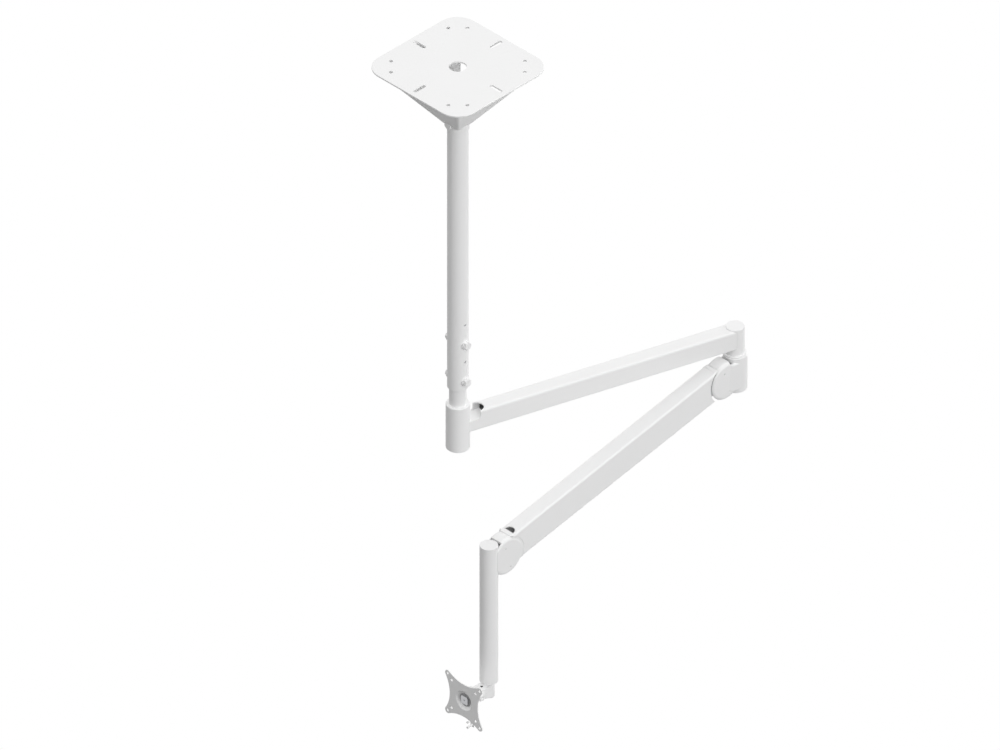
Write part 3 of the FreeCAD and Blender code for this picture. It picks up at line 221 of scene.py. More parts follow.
# %% [markdown]
# ## Powder coat
# The metal is powder coated: an even white skin with a very fine orange-peel texture and slightly soft
# edges. One node group makes the peel, the faint cloudiness of the colour and the gloss changes, and
# every material of the mount takes it with its own values.

# %% Shader group for the fine skin


def skin_group():
    """Outputs a colour factor, a roughness and a height from the object's own coordinates."""
    group = bpy.data.node_groups.new("fine_skin", "ShaderNodeTree")
    for name, value in (("Peel Scale", 900.0), ("Cloud Scale", 9.0), ("Cloud Amount", 0.03),
                        ("Base Roughness", 0.45), ("Roughness Spread", 0.08)):
        socket = group.interface.new_socket(name=name, in_out="INPUT", socket_type="NodeSocketFloat")
        socket.default_value = value
    for name in ("Tone", "Roughness", "Height"):
        group.interface.new_socket(name=name, in_out="OUTPUT", socket_type="NodeSocketFloat")
    make, link = group.nodes.new, group.links.new
    given = make("NodeGroupInput")
    result = make("NodeGroupOutput")
    place = make("ShaderNodeTexCoord")
    peel = make("ShaderNodeTexNoise")
    peel.inputs["Detail"].default_value = 2.0
    peel.inputs["Roughness"].default_value = 0.55
    cloud = make("ShaderNodeTexNoise")
    cloud.inputs["Detail"].default_value = 4.0
    link(place.outputs["Object"], peel.inputs["Vector"])
    link(place.outputs["Object"], cloud.inputs["Vector"])
    link(given.outputs["Peel Scale"], peel.inputs["Scale"])
    link(given.outputs["Cloud Scale"], cloud.inputs["Scale"])
    centred = make("ShaderNodeMath")
    centred.operation = "SUBTRACT"
    centred.inputs[1].default_value = 0.5
    link(cloud.outputs["Fac"], centred.inputs[0])
    scaled = make("ShaderNodeMath")
    scaled.operation = "MULTIPLY_ADD"
    scaled.inputs[2].default_value = 1.0
    link(centred.outputs[0], scaled.inputs[0])
    link(given.outputs["Cloud Amount"], scaled.inputs[1])
    rough = make("ShaderNodeMath")
    rough.operation = "MULTIPLY_ADD"
    link(centred.outputs[0], rough.inputs[0])
    link(given.outputs["Roughness Spread"], rough.inputs[1])
    link(given.outputs["Base Roughness"], rough.inputs[2])
    link(scaled.outputs[0], result.inputs["Tone"])
    link(rough.outputs[0], result.inputs["Roughness"])
    link(peel.outputs["Fac"], result.inputs["Height"])
    return group


FINE_SKIN = skin_group()

# %% Materials that use it


def skinned(name, colour, peel_scale, peel_depth, roughness, spread, edge_radius, metallic=0.0, specular=0.5):
    """Material whose colour, gloss and bump come from the skin group, with edges that look rounded."""
    material = bpy.data.materials.new(name)
    material.use_nodes = True
    tree = material.node_tree
    shader = tree.nodes["Principled BSDF"]
    shader.inputs["Metallic"].default_value = metallic
    shader.inputs["Specular IOR Level"].default_value = specular
    skin = tree.nodes.new("ShaderNodeGroup")
    skin.node_tree = FINE_SKIN
    skin.inputs["Peel Scale"].default_value = peel_scale
    skin.inputs["Base Roughness"].default_value = roughness
    skin.inputs["Roughness Spread"].default_value = spread
    tint = tree.nodes.new("ShaderNodeVectorMath")
    tint.operation = "SCALE"
    tint.inputs[0].default_value = colour
    tree.links.new(skin.outputs["Tone"], tint.inputs["Scale"])
    tree.links.new(tint.outputs[0], shader.inputs["Base Color"])
    tree.links.new(skin.outputs["Roughness"], shader.inputs["Roughness"])
    edge = tree.nodes.new("ShaderNodeBevel")
    edge.samples = 4
    edge.inputs["Radius"].default_value = edge_radius
    bump = tree.nodes.new("ShaderNodeBump")
    bump.inputs["Strength"].default_value = 1.0
    bump.inputs["Distance"].default_value = peel_depth
    tree.links.new(skin.outputs["Height"], bump.inputs["Height"])
    tree.links.new(edge.outputs["Normal"], bump.inputs["Normal"])
    tree.links.new(bump.outputs["Normal"], shader.inputs["Normal"])
    return material


WHITE = (0.90, 0.90, 0.90)
COATED_STEEL = skinned("coated_steel", WHITE, peel_scale=900, peel_depth=0.00003, roughness=0.50,
                       spread=0.06, edge_radius=0.0006, specular=0.3)
COATED_CASTING = skinned("coated_casting", WHITE, peel_scale=520, peel_depth=0.00006, roughness=0.52,
                         spread=0.08, edge_radius=0.0010, specular=0.3)
WHITE_PLASTIC = skinned("white_plastic", (0.88, 0.88, 0.88), peel_scale=1400, peel_depth=0.00002,
                        roughness=0.42, spread=0.05, edge_radius=0.0004, specular=0.4)
# This grey is the washers' own plastic colour. On the seat in the screen plate's dish its darkness is painted
# shade, standing in for the shade on the dish floor.
GREY_PLASTIC_AND_SEAT_SHADE = skinned("grey_plastic", (0.33, 0.33, 0.335), peel_scale=1400, peel_depth=0.00002,
                       roughness=0.55, spread=0.05, edge_radius=0.0004)
ZINC = skinned("zinc_steel", (0.50, 0.505, 0.52), peel_scale=1600, peel_depth=0.00001, roughness=0.34,
               spread=0.12, edge_radius=0.0003, metallic=1.0)
STRUT_PAINT = skinned("strut_paint", (0.03, 0.03, 0.033), peel_scale=1200, peel_depth=0.00002,
                      roughness=0.25, spread=0.05, edge_radius=0.0004)
print("materials", len(bpy.data.materials))

# %% [markdown]
# ## Painted shade inside the arms and the key hole
# The insides of both hollow arms and the key hole in the head get a darker colour. This is painted shade,
# which keeps the cable openings and the key hole dark although the lamp from above casts no shadow. A group
# tests whether a point lies within a box, in the arm's own directions, and the material mixes its coat
# with the shade colour by that mask.

# %% Shader group for the inside of a box


def shade_mask_group():
    """Outputs 1 within a box around the origin and 0 outside it."""
    group = bpy.data.node_groups.new("inside_box", "ShaderNodeTree")
    group.interface.new_socket(name="Point", in_out="INPUT", socket_type="NodeSocketVector")
    group.interface.new_socket(name="Half Size", in_out="INPUT", socket_type="NodeSocketVector")
    group.interface.new_socket(name="Inside", in_out="OUTPUT", socket_type="NodeSocketFloat")
    make, link = group.nodes.new, group.links.new
    given = make("NodeGroupInput")
    result = make("NodeGroupOutput")
    far = make("ShaderNodeVectorMath")
    far.operation = "ABSOLUTE"
    over = make("ShaderNodeVectorMath")
    over.operation = "SUBTRACT"
    apart = make("ShaderNodeSeparateXYZ")
    link(given.outputs["Point"], far.inputs[0])
    link(far.outputs[0], over.inputs[0])
    link(given.outputs["Half Size"], over.inputs[1])
    link(over.outputs[0], apart.inputs[0])
    first = make("ShaderNodeMath")
    first.operation = "MAXIMUM"
    second = make("ShaderNodeMath")
    second.operation = "MAXIMUM"
    test = make("ShaderNodeMath")
    test.operation = "LESS_THAN"
    test.inputs[1].default_value = 0.0
    link(apart.outputs["X"], first.inputs[0])
    link(apart.outputs["Y"], first.inputs[1])
    link(first.outputs[0], second.inputs[0])
    link(apart.outputs["Z"], second.inputs[1])
    link(second.outputs[0], test.inputs[0])
    link(test.outputs[0], result.inputs["Inside"])
    return group


SHADE_MASK_BOX = shade_mask_group()
# Painted shade: colours for the insides of the level arm, the key hole and the sprung arm, where shade falls.
LEVEL_ARM_PAINTED_SHADE = (0.10, 0.10, 0.10, 1)
KEY_HOLE_PAINTED_SHADE = (0.30, 0.30, 0.30, 1)
SPRUNG_ARM_PAINTED_SHADE = (0.70, 0.70, 0.70, 1)


def with_painted_shade(material, name, colour, centre, turn, half_size):
    """Copy of a coated material with a painted shade colour within a box; turn is the box's own rotation."""
    copy = material.copy()
    copy.name = name
    tree = copy.node_tree
    shader = tree.nodes["Principled BSDF"]
    coat = shader.inputs["Base Color"].links[0].from_socket
    place = tree.nodes.new("ShaderNodeTexCoord")
    mapping = tree.nodes.new("ShaderNodeMapping")
    mapping.vector_type = "TEXTURE"
    mapping.inputs["Location"].default_value = centre
    mapping.inputs["Rotation"].default_value = turn
    mask = tree.nodes.new("ShaderNodeGroup")
    mask.node_tree = SHADE_MASK_BOX
    mask.inputs["Half Size"].default_value = half_size
    mix = tree.nodes.new("ShaderNodeMix")
    mix.data_type = "RGBA"
    mix.inputs["B"].default_value = colour
    tree.links.new(place.outputs["Object"], mapping.inputs["Vector"])
    tree.links.new(mapping.outputs["Vector"], mask.inputs["Point"])
    tree.links.new(mask.outputs["Inside"], mix.inputs["Factor"])
    tree.links.new(coat, mix.inputs["A"])
    tree.links.new(mix.outputs["Result"], shader.inputs["Base Color"])
    return copy


# %% Place in the level arm's own frame


def on_arm(x, y, z):
    """From the level arm's frame, along +Y from the mast, to its place."""
    turn = ARM_TURN
    return Vector((x * math.cos(turn) + y * math.sin(turn), -x * math.sin(turn) + y * math.cos(turn), z))


# %% Painted shade inside the two arms
INSIDE_HALF = 0.0174
MASK_SPARE = 0.0004
LEVEL_WALL, SLOT_END = 0.003, 0.0635
SPRING_ABOVE, SPRING_BELOW, SPRING_WALL = 0.0452, 0.0295, 0.003
arm_low, arm_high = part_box("extension_tube")
arm_reach = math.hypot(ELBOW.x, ELBOW.y)
# Painted shade inside the level arm, from the end of the cable slot to the elbow.
LEVEL_ARM_SHADED_COAT = with_painted_shade(
    COATED_STEEL, "coated_level_arm", LEVEL_ARM_PAINTED_SHADE,
    on_arm(0, (SLOT_END + arm_reach) / 2, (arm_low[2] + arm_high[2]) / 2), (0, 0, -ARM_TURN),
    (INSIDE_HALF, (arm_reach - SLOT_END) / 2, (arm_high[2] - arm_low[2]) / 2 - LEVEL_WALL + MASK_SPARE))
spring_length = (UPPER_PIVOT - LOWER_PIVOT).length
spring_rise = (SPRING_ABOVE - SPRING_BELOW) / 2
spring_middle = (UPPER_PIVOT + LOWER_PIVOT) / 2
# Painted shade inside the sprung arm, between its two pivots.
SPRUNG_ARM_SHADED_COAT = with_painted_shade(
    COATED_CASTING, "coated_sprung_arm", SPRUNG_ARM_PAINTED_SHADE,
    spring_middle + Vector((0, -math.sin(ARM_TILT), math.cos(ARM_TILT))) * spring_rise, (ARM_TILT, 0, 0),
    (INSIDE_HALF, spring_length / 2, (SPRING_ABOVE + SPRING_BELOW) / 2 - SPRING_WALL + MASK_SPARE))
print("level arm", round(arm_reach, 4), "sprung arm", round(spring_length, 4))

# %% Painted shade in the head's key hole
KEY_HOLE_BEHIND = 0.0225
KEY_HOLE_HALF = 0.0031
KEY_HOLE_MOUTH, KEY_HOLE_FOOT = 0.0066, 0.0165
head_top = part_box("swivel_block")[1][2]
# Painted shade in the key hole of the head, below its mouth.
HEAD_SHADED_COAT = with_painted_shade(
    COATED_CASTING, "coated_head", KEY_HOLE_PAINTED_SHADE,
    (POST.x, POST.y - KEY_HOLE_BEHIND, head_top - (KEY_HOLE_MOUTH + KEY_HOLE_FOOT) / 2), (0, 0, 0),
    (KEY_HOLE_HALF, KEY_HOLE_HALF, (KEY_HOLE_FOOT - KEY_HOLE_MOUTH) / 2))

# %% [markdown]
# ## A finish for each piece
# Every solid of the mount carries the name of its finish, which says what it is made of. A table turns
# that name into a material. The sheets of both arms and the head then take the copies with painted shade
# inside.

# %% Give every CAD node its finish
MATERIAL_OF_SLOT = {"white_coat": COATED_STEEL, "white_cast": COATED_CASTING, "zinc_steel": ZINC,
                    "white_plastic": WHITE_PLASTIC, "grey_plastic": GREY_PLASTIC_AND_SEAT_SHADE, "strut_black": STRUT_PAINT}

for entry in frame["record"]["subparts"]:
    mesh = nodes[entry["node"]].data
    mesh.materials.clear()
    mesh.materials.append(MATERIAL_OF_SLOT[entry["material_slot"]])
# The two arms and the head take the copies with painted shade inside.
nodes["extension_tube"].data.materials[0] = LEVEL_ARM_SHADED_COAT
nodes["arm_cover"].data.materials[0] = SPRUNG_ARM_SHADED_COAT
nodes["arm_floor"].data.materials[0] = SPRUNG_ARM_SHADED_COAT
nodes["swivel_block"].data.materials[0] = HEAD_SHADED_COAT

# %% [markdown]
# ## Beads and screws from a rule
# Two things repeat on this mount: weld beads that follow a seam, and screws that sit at a row of places.
# Each gets one node tree with named sizes. A tree runs once on a small carrier mesh, and its result is
# turned into a plain mesh, because the export keeps only real faces.

# %% Helpers that run a tree and keep its result
MERGE_WITHIN = 0.000002


def new_tree(name, inputs):
    """Geometry node tree with a geometry input and output and the named inputs given."""
    tree = bpy.data.node_groups.new(name, "GeometryNodeTree")
    tree.interface.new_socket(name="Geometry", in_out="INPUT", socket_type="NodeSocketGeometry")
    tree.interface.new_socket(name="Geometry", in_out="OUTPUT", socket_type="NodeSocketGeometry")
    for label, kind in inputs:
        tree.interface.new_socket(name=label, in_out="INPUT", socket_type=kind)
    return tree


def close_tree(tree, last, given):
    """Ends a tree in Realize Instances and Set Material."""
    make, link = tree.nodes.new, tree.links.new
    real = make("GeometryNodeRealizeInstances")
    paint = make("GeometryNodeSetMaterial")
    result = make("NodeGroupOutput")
    link(last, real.inputs["Geometry"])
    link(real.outputs["Geometry"], paint.inputs["Geometry"])
    link(given.outputs["Material"], paint.inputs["Material"])
    link(paint.outputs["Geometry"], result.inputs["Geometry"])


def carrier(name, points, edges=()):
    """Loose points, or points joined by edges, for a tree to work on."""
    mesh = bpy.data.meshes.new(name)
    mesh.from_pydata([tuple(point) for point in points], list(edges), [])
    piece = bpy.data.objects.new(name, mesh)
    bpy.context.scene.collection.objects.link(piece)
    return piece


def run_tree(piece, tree, values):
    """Runs a tree on a piece with the named values, and leaves a plain closed mesh."""
    modifier = piece.modifiers.new(tree.name, "NODES")
    modifier.node_group = tree
    for item in tree.interface.items_tree:
        if item.in_out == "INPUT" and item.name in values:
            modifier[item.identifier] = values[item.name]
    piece.update_tag()
    ready = piece.evaluated_get(bpy.context.evaluated_depsgraph_get())
    mesh = bpy.data.meshes.new_from_object(ready)
    piece.modifiers.remove(modifier)
    loose = piece.data
    piece.data = mesh
    bpy.data.meshes.remove(loose)
    work = bmesh.new()
    work.from_mesh(mesh)
    bmesh.ops.remove_doubles(work, verts=work.verts, dist=MERGE_WITHIN)
    bmesh.ops.recalc_face_normals(work, faces=work.faces)
    work.to_mesh(mesh)
    work.free()
    mesh.name = piece.name
    print(piece.name, "faces", len(mesh.polygons))
    return piece


# %% [markdown]
# ## Weld beads
# On the real mount the sheet and tubes are welded before they are coated, so each seam has a low rounded
# bead with fine ripples. The tree sweeps a small circle along the seam and lets its size rise and fall
# along the length.

# %% Tree that sweeps a rippled bead
POINTS_PER_RIPPLE = 4.0
BEAD_SIDES = 10


def bead_tree():
    """Rippled tube along the edges of a carrier."""
    tree = new_tree("weld_bead", [("Bead Radius", "NodeSocketFloat"), ("Ripple Pitch", "NodeSocketFloat"),
                                  ("Ripple Depth", "NodeSocketFloat"), ("Material", "NodeSocketMaterial")])
    make, link = tree.nodes.new, tree.links.new

    def calculate(kind, first, second):
        """Math node whose two values are sockets or numbers."""
        node = make("ShaderNodeMath")
        node.operation = kind
        for index, value in enumerate((first, second)):
            if isinstance(value, (int, float)):
                node.inputs[index].default_value = value
            elif value is not None:
                link(value, node.inputs[index])
        return node.outputs[0]

    given = make("NodeGroupInput")
    curve = make("GeometryNodeMeshToCurve")
    even = make("GeometryNodeResampleCurve")
    even.mode = "LENGTH"
    link(given.outputs["Geometry"], curve.inputs["Mesh"])
    link(curve.outputs["Curve"], even.inputs["Curve"])
    link(calculate("DIVIDE", given.outputs["Ripple Pitch"], POINTS_PER_RIPPLE), even.inputs["Length"])
    along = make("GeometryNodeSplineParameter")
    waves = calculate("DIVIDE", along.outputs["Length"], given.outputs["Ripple Pitch"])
    height = calculate("SINE", calculate("MULTIPLY", waves, math.tau), None)
    swell = calculate("ADD", calculate("MULTIPLY", height, given.outputs["Ripple Depth"]), 1.0)
    size = calculate("MULTIPLY", swell, given.outputs["Bead Radius"])
    round_profile = make("GeometryNodeCurvePrimitiveCircle")
    round_profile.inputs["Resolution"].default_value = BEAD_SIDES
    round_profile.inputs["Radius"].default_value = 1.0
    sweep = make("GeometryNodeCurveToMesh")
    sweep.inputs["Fill Caps"].default_value = True
    link(even.outputs["Curve"], sweep.inputs["Curve"])
    link(round_profile.outputs["Curve"], sweep.inputs["Profile Curve"])
    link(size, sweep.inputs["Scale"])
    smooth = make("GeometryNodeSetShadeSmooth")
    link(sweep.outputs["Mesh"], smooth.inputs["Geometry"])
    close_tree(tree, smooth.outputs["Geometry"], given)
    return tree


RIPPLE_PITCH = 0.0026
RIPPLE_DEPTH = 0.14
BEAD_TREE = bead_tree()


def weld(name, points, closed, radius, body):
    """Weld bead along a line of points, riding on a body."""
    count = len(points)
    edges = [(index, index + 1) for index in range(count - 1)]
    if closed:
        edges.append((count - 1, 0))
    piece = carrier(name, points, edges)
    run_tree(piece, BEAD_TREE, {"Bead Radius": radius, "Ripple Pitch": RIPPLE_PITCH,
                                "Ripple Depth": RIPPLE_DEPTH, "Material": COATED_STEEL})
    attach(piece, body)
    return piece


# %% [markdown]
# ## Seams of the hopper, the hub, the elbow and the post
# Each seam is worked out from the boxes of the nodes that meet there and a few named sizes. A tube that
# ends on a round bar meets it in a saddle line: its depth at every width follows from the bar's circle.

# %% Lines that the beads follow
ARC_STEPS = 8
BEAD_RADIUS = 0.0013
SEAM_STEP = 0.002


def rounded_line(corners, radius):
    """Open line through corners in a plane, given as pairs, with the inner ones rounded."""
    line = [Vector(corners[0])]
    for before, corner, after in zip(corners, corners[1:], corners[2:]):
        corner = Vector(corner)
        inward = (Vector(before) - corner).normalized()
        onward = (Vector(after) - corner).normalized()
        centre = corner + (inward + onward) * radius
        start = -onward * radius
        end = -inward * radius
        for step in range(ARC_STEPS + 1):
            share = math.radians(90) * step / ARC_STEPS
            line.append(centre + start * math.cos(share) + end * math.sin(share))
    line.append(Vector(corners[-1]))
    return line


def divided(line, step):
    """The same line with more points on its long stretches."""
    result = [line[0]]
    for start, end in zip(line, line[1:]):
        pieces = max(1, math.ceil((end - start).length / step))
        for index in range(1, pieces + 1):
            result.append(start.lerp(end, index / pieces))
    return result


def spaced(start, end, steps):
    """Evenly spaced values from start to end, both included."""
    return [start + (end - start) * step / steps for step in range(steps + 1)]


def half_width(node):
    """Half of a CAD node's size along X, which is the radius of a round one."""
    low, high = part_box(node)
    return (high[0] - low[0]) / 2


# %% Hopper and collar beads
HOPPER_BEND = 0.007
HOPPER_LIP = 0.009
COLLAR_STEPS = 96
hopper_low, hopper_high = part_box("plate_hopper")
under_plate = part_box("ceiling_plate")[0][2]
side_x, front_y, back_y = hopper_high[0], hopper_low[1], hopper_high[1]
lip_x = side_x - HOPPER_LIP
hopper_line = rounded_line([(lip_x, back_y), (side_x, back_y), (side_x, front_y), (-side_x, front_y),
                            (-side_x, back_y), (-lip_x, back_y)], HOPPER_BEND)
weld("hopper_weld", [(p.x, p.y, under_plate) for p in hopper_line], False, BEAD_RADIUS, "mast")

collar_radius = half_width("mast_collar")
hopper_foot = hopper_low[2]
collar_line = []
for step in range(COLLAR_STEPS):
    angle = math.tau * step / COLLAR_STEPS
    collar_line.append((collar_radius * math.cos(angle), collar_radius * math.sin(angle), hopper_foot))
weld("collar_weld", collar_line, True, BEAD_RADIUS, "mast")

# %% Hub and elbow beads
ARM_HALF = 0.020
ARM_CORNER = 0.005
CORNER_SPARE = 0.0001
CHANNEL_DEPTH = 0.0205
SHELF_STEPS = 24
elbow_radius = half_width("elbow_cap")
hub_radius = half_width("extension_hub")


def arm_seam(top, radius, start, sign):
    """Line where the level arm's sides and floor meet a round bar, open at the top."""
    corners = [(-ARM_HALF, top), (-ARM_HALF, arm_low[2]), (ARM_HALF, arm_low[2]), (ARM_HALF, top)]
    seam = []
    for point in divided(rounded_line(corners, ARM_CORNER - CORNER_SPARE), SEAM_STEP):
        depth = math.sqrt(max(radius ** 2 - point.x ** 2, 0))
        seam.append(on_arm(point.x, start + sign * depth, point.y))
    return seam


shelf = arm_high[2] - CHANNEL_DEPTH
hub_seam = arm_seam(shelf, hub_radius, 0.0, 1)
for x in spaced(ARM_HALF, -ARM_HALF, SHELF_STEPS)[1:-1]:
    hub_seam.append(on_arm(x, math.sqrt(hub_radius ** 2 - x ** 2), shelf))
weld("hub_weld", hub_seam, True, BEAD_RADIUS, "extension")
elbow_seam = arm_seam(arm_low[2] + ARM_CORNER, elbow_radius, arm_reach, -1)
weld("elbow_weld", elbow_seam, False, BEAD_RADIUS, "extension")

# %% Post bead
LUG_R = 0.048
LUG_HALF = 0.020
LUG_EDGE = 0.009
LUG_OPEN_HALF = 0.0165
RIM_STEPS, FOOT_STEPS = 12, 48
POST_BEAD_RADIUS = 0.0011
post_radius = half_width("post_cap")
post_gap = LOWER_PIVOT.y - POST.y


def lug_reach(x):
    """Radius of the lug's rounded rim at a distance from its middle."""
    past = max(abs(x) - (LUG_HALF - LUG_EDGE), 0)
    return LUG_R - LUG_EDGE + math.sqrt(max(LUG_EDGE ** 2 - past ** 2, 0))


def post_seam_point(x, side):
    """Point of the seam above (+1) or below (-1) the pivot, at a distance from the lug's middle."""
    depth = post_gap - math.sqrt(post_radius ** 2 - x ** 2)
    rise = math.sqrt(max(lug_reach(x) ** 2 - depth ** 2, 0))
    return Vector((UPPER_PIVOT.x + x, LOWER_PIVOT.y - depth, LOWER_PIVOT.z + side * rise))


post_seam = [post_seam_point(x, 1) for x in spaced(-LUG_OPEN_HALF, -LUG_HALF, RIM_STEPS)]
post_seam += [post_seam_point(x, -1) for x in spaced(-LUG_HALF, LUG_HALF, FOOT_STEPS)]
post_seam += [post_seam_point(x, 1) for x in spaced(LUG_HALF, LUG_OPEN_HALF, RIM_STEPS)]
weld("post_weld", divided(post_seam, SEAM_STEP), False, POST_BEAD_RADIUS, "post")

# %% [markdown]
# ## Closing pieces at the sprung arm's ends
# The arm turns about a pin in each round lug. On the real mount no black slot shows on top at the upper
# lug, nor beside the lower one, because the cover reaches close to the lugs there. One lip and two cheeks
# close those slots. The faces that they turn to the lugs are surfaces of rotation about the pivot pins,
# so the small gaps stay the same while the arm moves.

# %% Places in the sprung arm's own frame


def on_spring(x, y, z, pivot):
    """From a frame at a pivot, with +Y up along the arm and +Z out of its top, to its place."""
    cosine, sine = math.cos(ARM_TILT), math.sin(ARM_TILT)
    return Vector((pivot.x + x, pivot.y + y * cosine - z * sine, pivot.z + y * sine + z * cosine))


# %% Closed meshes from loops of points


def wrap(work, loops):
    """Side faces between loops that have the same number of points."""
    for one, other in zip(loops, loops[1:]):
        for index in range(len(one)):
            after = (index + 1) % len(one)
            work.faces.new((one[index], one[after], other[after], other[index]))


def mesh_of(work, name):
    """Mesh made from a finished bmesh, which is then freed."""
    mesh = bpy.data.meshes.new(name)
    work.to_mesh(mesh)
    work.free()
    return mesh


def swept(name, sections, material, body):
    """Closed piece from sections that have the same number of points, riding on a body."""
    work = bmesh.new()
    loops = [[work.verts.new(point) for point in section] for section in sections]
    wrap(work, loops)
    work.faces.new(loops[0])
    work.faces.new(list(reversed(loops[-1])))
    bmesh.ops.recalc_face_normals(work, faces=work.faces)
    mesh = mesh_of(work, name)
    piece = bpy.data.objects.new(name, mesh)
    bpy.context.scene.collection.objects.link(piece)
    mesh.materials.append(material)
    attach(piece, body)
    print(name, "faces", len(mesh.polygons))
    return piece


# %% Lip on top at the upper lug
LIP_CLEAR = 0.0008
COVER_END_R = 0.053
SECTION_CORNER = 0.005
LIP_HALF = 0.0186
LIP_STEPS = 32
lip_near = LUG_R + LIP_CLEAR
lip_sections = []
for x in spaced(-LIP_HALF, LIP_HALF, LIP_STEPS):
    past = max(abs(x) - (LUG_HALF - SECTION_CORNER), 0)
    top = SPRING_ABOVE - SECTION_CORNER + math.sqrt(SECTION_CORNER ** 2 - past ** 2)
    foot = top - SPRING_WALL
    section = []
    for reach, level in ((lip_near, top), (COVER_END_R, top), (COVER_END_R, foot), (lip_near, foot)):
        section.append(on_spring(x, -math.sqrt(reach ** 2 - level ** 2), level, UPPER_PIVOT))
    lip_sections.append(section)
swept("upper_lip", lip_sections, COATED_CASTING, "spring_arm")

# %% Cheeks beside the lower lug
CHEEK_CLEAR = 0.00025
CHEEK_PROUD = 0.00005
CHEEK_END_R = 0.0502
CHEEK_INNER = 0.0126
PROFILE_STEPS, TURN_STEPS = 12, 40
CHEEK_COAT = skinned("coated_cheek", WHITE, peel_scale=520, peel_depth=0.00006, roughness=0.52,
                     spread=0.08, edge_radius=0.0, specular=0.3)
cheek_face = LUG_HALF + CHEEK_PROUD
cheek_top = math.asin(SPRING_ABOVE / CHEEK_END_R)
cheek_profile = [(x, lug_reach(x) + CHEEK_CLEAR) for x in spaced(CHEEK_INNER, LUG_HALF, PROFILE_STEPS)]
cheek_profile.append((cheek_face, lug_reach(LUG_HALF) + CHEEK_CLEAR))
cheek_profile.append((cheek_face, CHEEK_END_R))
cheek_profile.append((CHEEK_INNER, CHEEK_END_R))
for side, name in ((1, "lower_cheek_right"), (-1, "lower_cheek_left")):
    sections = []
    for step in range(TURN_STEPS + 1):
        section = []
        for x, reach in cheek_profile:
            start = math.asin(-SPRING_BELOW / reach)
            angle = start + (cheek_top - start) * step / TURN_STEPS
            section.append(on_spring(side * x, reach * math.cos(angle), reach * math.sin(angle), LOWER_PIVOT))
        sections.append(section)
    swept(name, sections, CHEEK_COAT, "spring_arm")

# %% [markdown]
# ## Screws and nuts
# A hexagon head isn't a plain prism: its corners are turned off at 30 degrees, so the top ends in a
# circle. Each shape below is a stack of rings around an axis, and every ring gives its radius for each
# direction, which makes the hexagon, the turned corners and the round shank in one closed mesh. A second
# tree sets copies of it in place.

# %% Rings that make heads, nuts and sockets
AROUND = 48


def stacked_shape(name, rings):
    """Closed mesh from rings around Z; each ring gives a radius and a height for a direction."""
    work = bmesh.new()
    loops = []
    for ring in rings:
        loop = []
        for step in range(AROUND):
            angle = math.tau * step / AROUND
            radius, height = ring(angle)
            loop.append(work.verts.new((radius * math.cos(angle), radius * math.sin(angle), height)))
        loops.append(loop)
    wrap(work, loops)
    work.faces.new(list(reversed(loops[0])))
    work.faces.new(loops[-1])
    return bpy.data.objects.new(name, mesh_of(work, name))


def circle(radius, height):
    """Ring that is round."""
    return lambda angle: (radius, height)


def hexagon_reach(corner_radius, angle):
    """Distance from the middle of a hexagon to its side in a direction."""
    sector = math.radians(60)
    return corner_radius * math.cos(sector / 2) / math.cos(angle % sector - sector / 2)


def hexagon(corner_radius, height):
    """Ring with six sides."""
    return lambda angle: (hexagon_reach(corner_radius, angle), height)


def turned_corners(corner_radius, circle_radius, height, down):
    """Ring where the 30 degree cone meets the hexagon's sides; down is 1 at a top and -1 at a foot."""
    slope = math.tan(math.radians(30))

    def ring(angle):
        reach = hexagon_reach(corner_radius, angle)
        return reach, height - down * (reach - circle_radius) * slope

    return ring


# %% Bolt, nut and socket screw
SEAT_SHARE = 0.96
SEAT_STEP = 0.0003
COUNTERSINK = 0.0003
THREAD_TURNS = 3
THREAD_DEPTH = 0.0004
END_CHAMFER = 0.0007
ROUNDED_SHARE = 0.12


def seat_radius(corner_radius):
    """Radius of the turned circle on a hexagon's flat end."""
    return corner_radius * math.cos(math.radians(30)) * SEAT_SHARE


def hexagon_bolt(name, corner_radius, height, shank_radius, shank_length):
    """Hexagon head on a round shank, its seat at the origin and its head above it."""
    flat = seat_radius(corner_radius)
    return stacked_shape(name, [circle(shank_radius, -shank_length), circle(shank_radius, 0), circle(flat, 0),
                                circle(flat, SEAT_STEP), hexagon(corner_radius, SEAT_STEP),
                                turned_corners(corner_radius, flat, height, 1), circle(flat, height)])


def nut_with_end(name, corner_radius, height, bolt_radius, end):
    """Hexagon nut with the threaded end of its bolt standing out of it."""
    flat = seat_radius(corner_radius)
    rings = [circle(flat, 0), turned_corners(corner_radius, flat, 0, -1),
             turned_corners(corner_radius, flat, height, 1), circle(flat, height),
             circle(bolt_radius + COUNTERSINK, height), circle(bolt_radius, height - COUNTERSINK)]
    pitch = end / THREAD_TURNS
    for turn in range(THREAD_TURNS):
        rings.append(circle(bolt_radius - THREAD_DEPTH, height + pitch * (turn + 0.25)))
        rings.append(circle(bolt_radius, height + pitch * (turn + 0.75)))
    rings.append(circle(bolt_radius - END_CHAMFER, height + end))
    return stacked_shape(name, rings)


def socket_screw(name, radius, height, socket_radius, depth):
    """Round head with a hexagon socket, its foot at the origin."""
    edge = radius * ROUNDED_SHARE
    return stacked_shape(name, [circle(radius, 0), circle(radius, height - edge),
                                circle(radius - edge, height), hexagon(socket_radius, height),
                                hexagon(socket_radius, height - depth)])


# %% Tree that sets copies of a shape on points


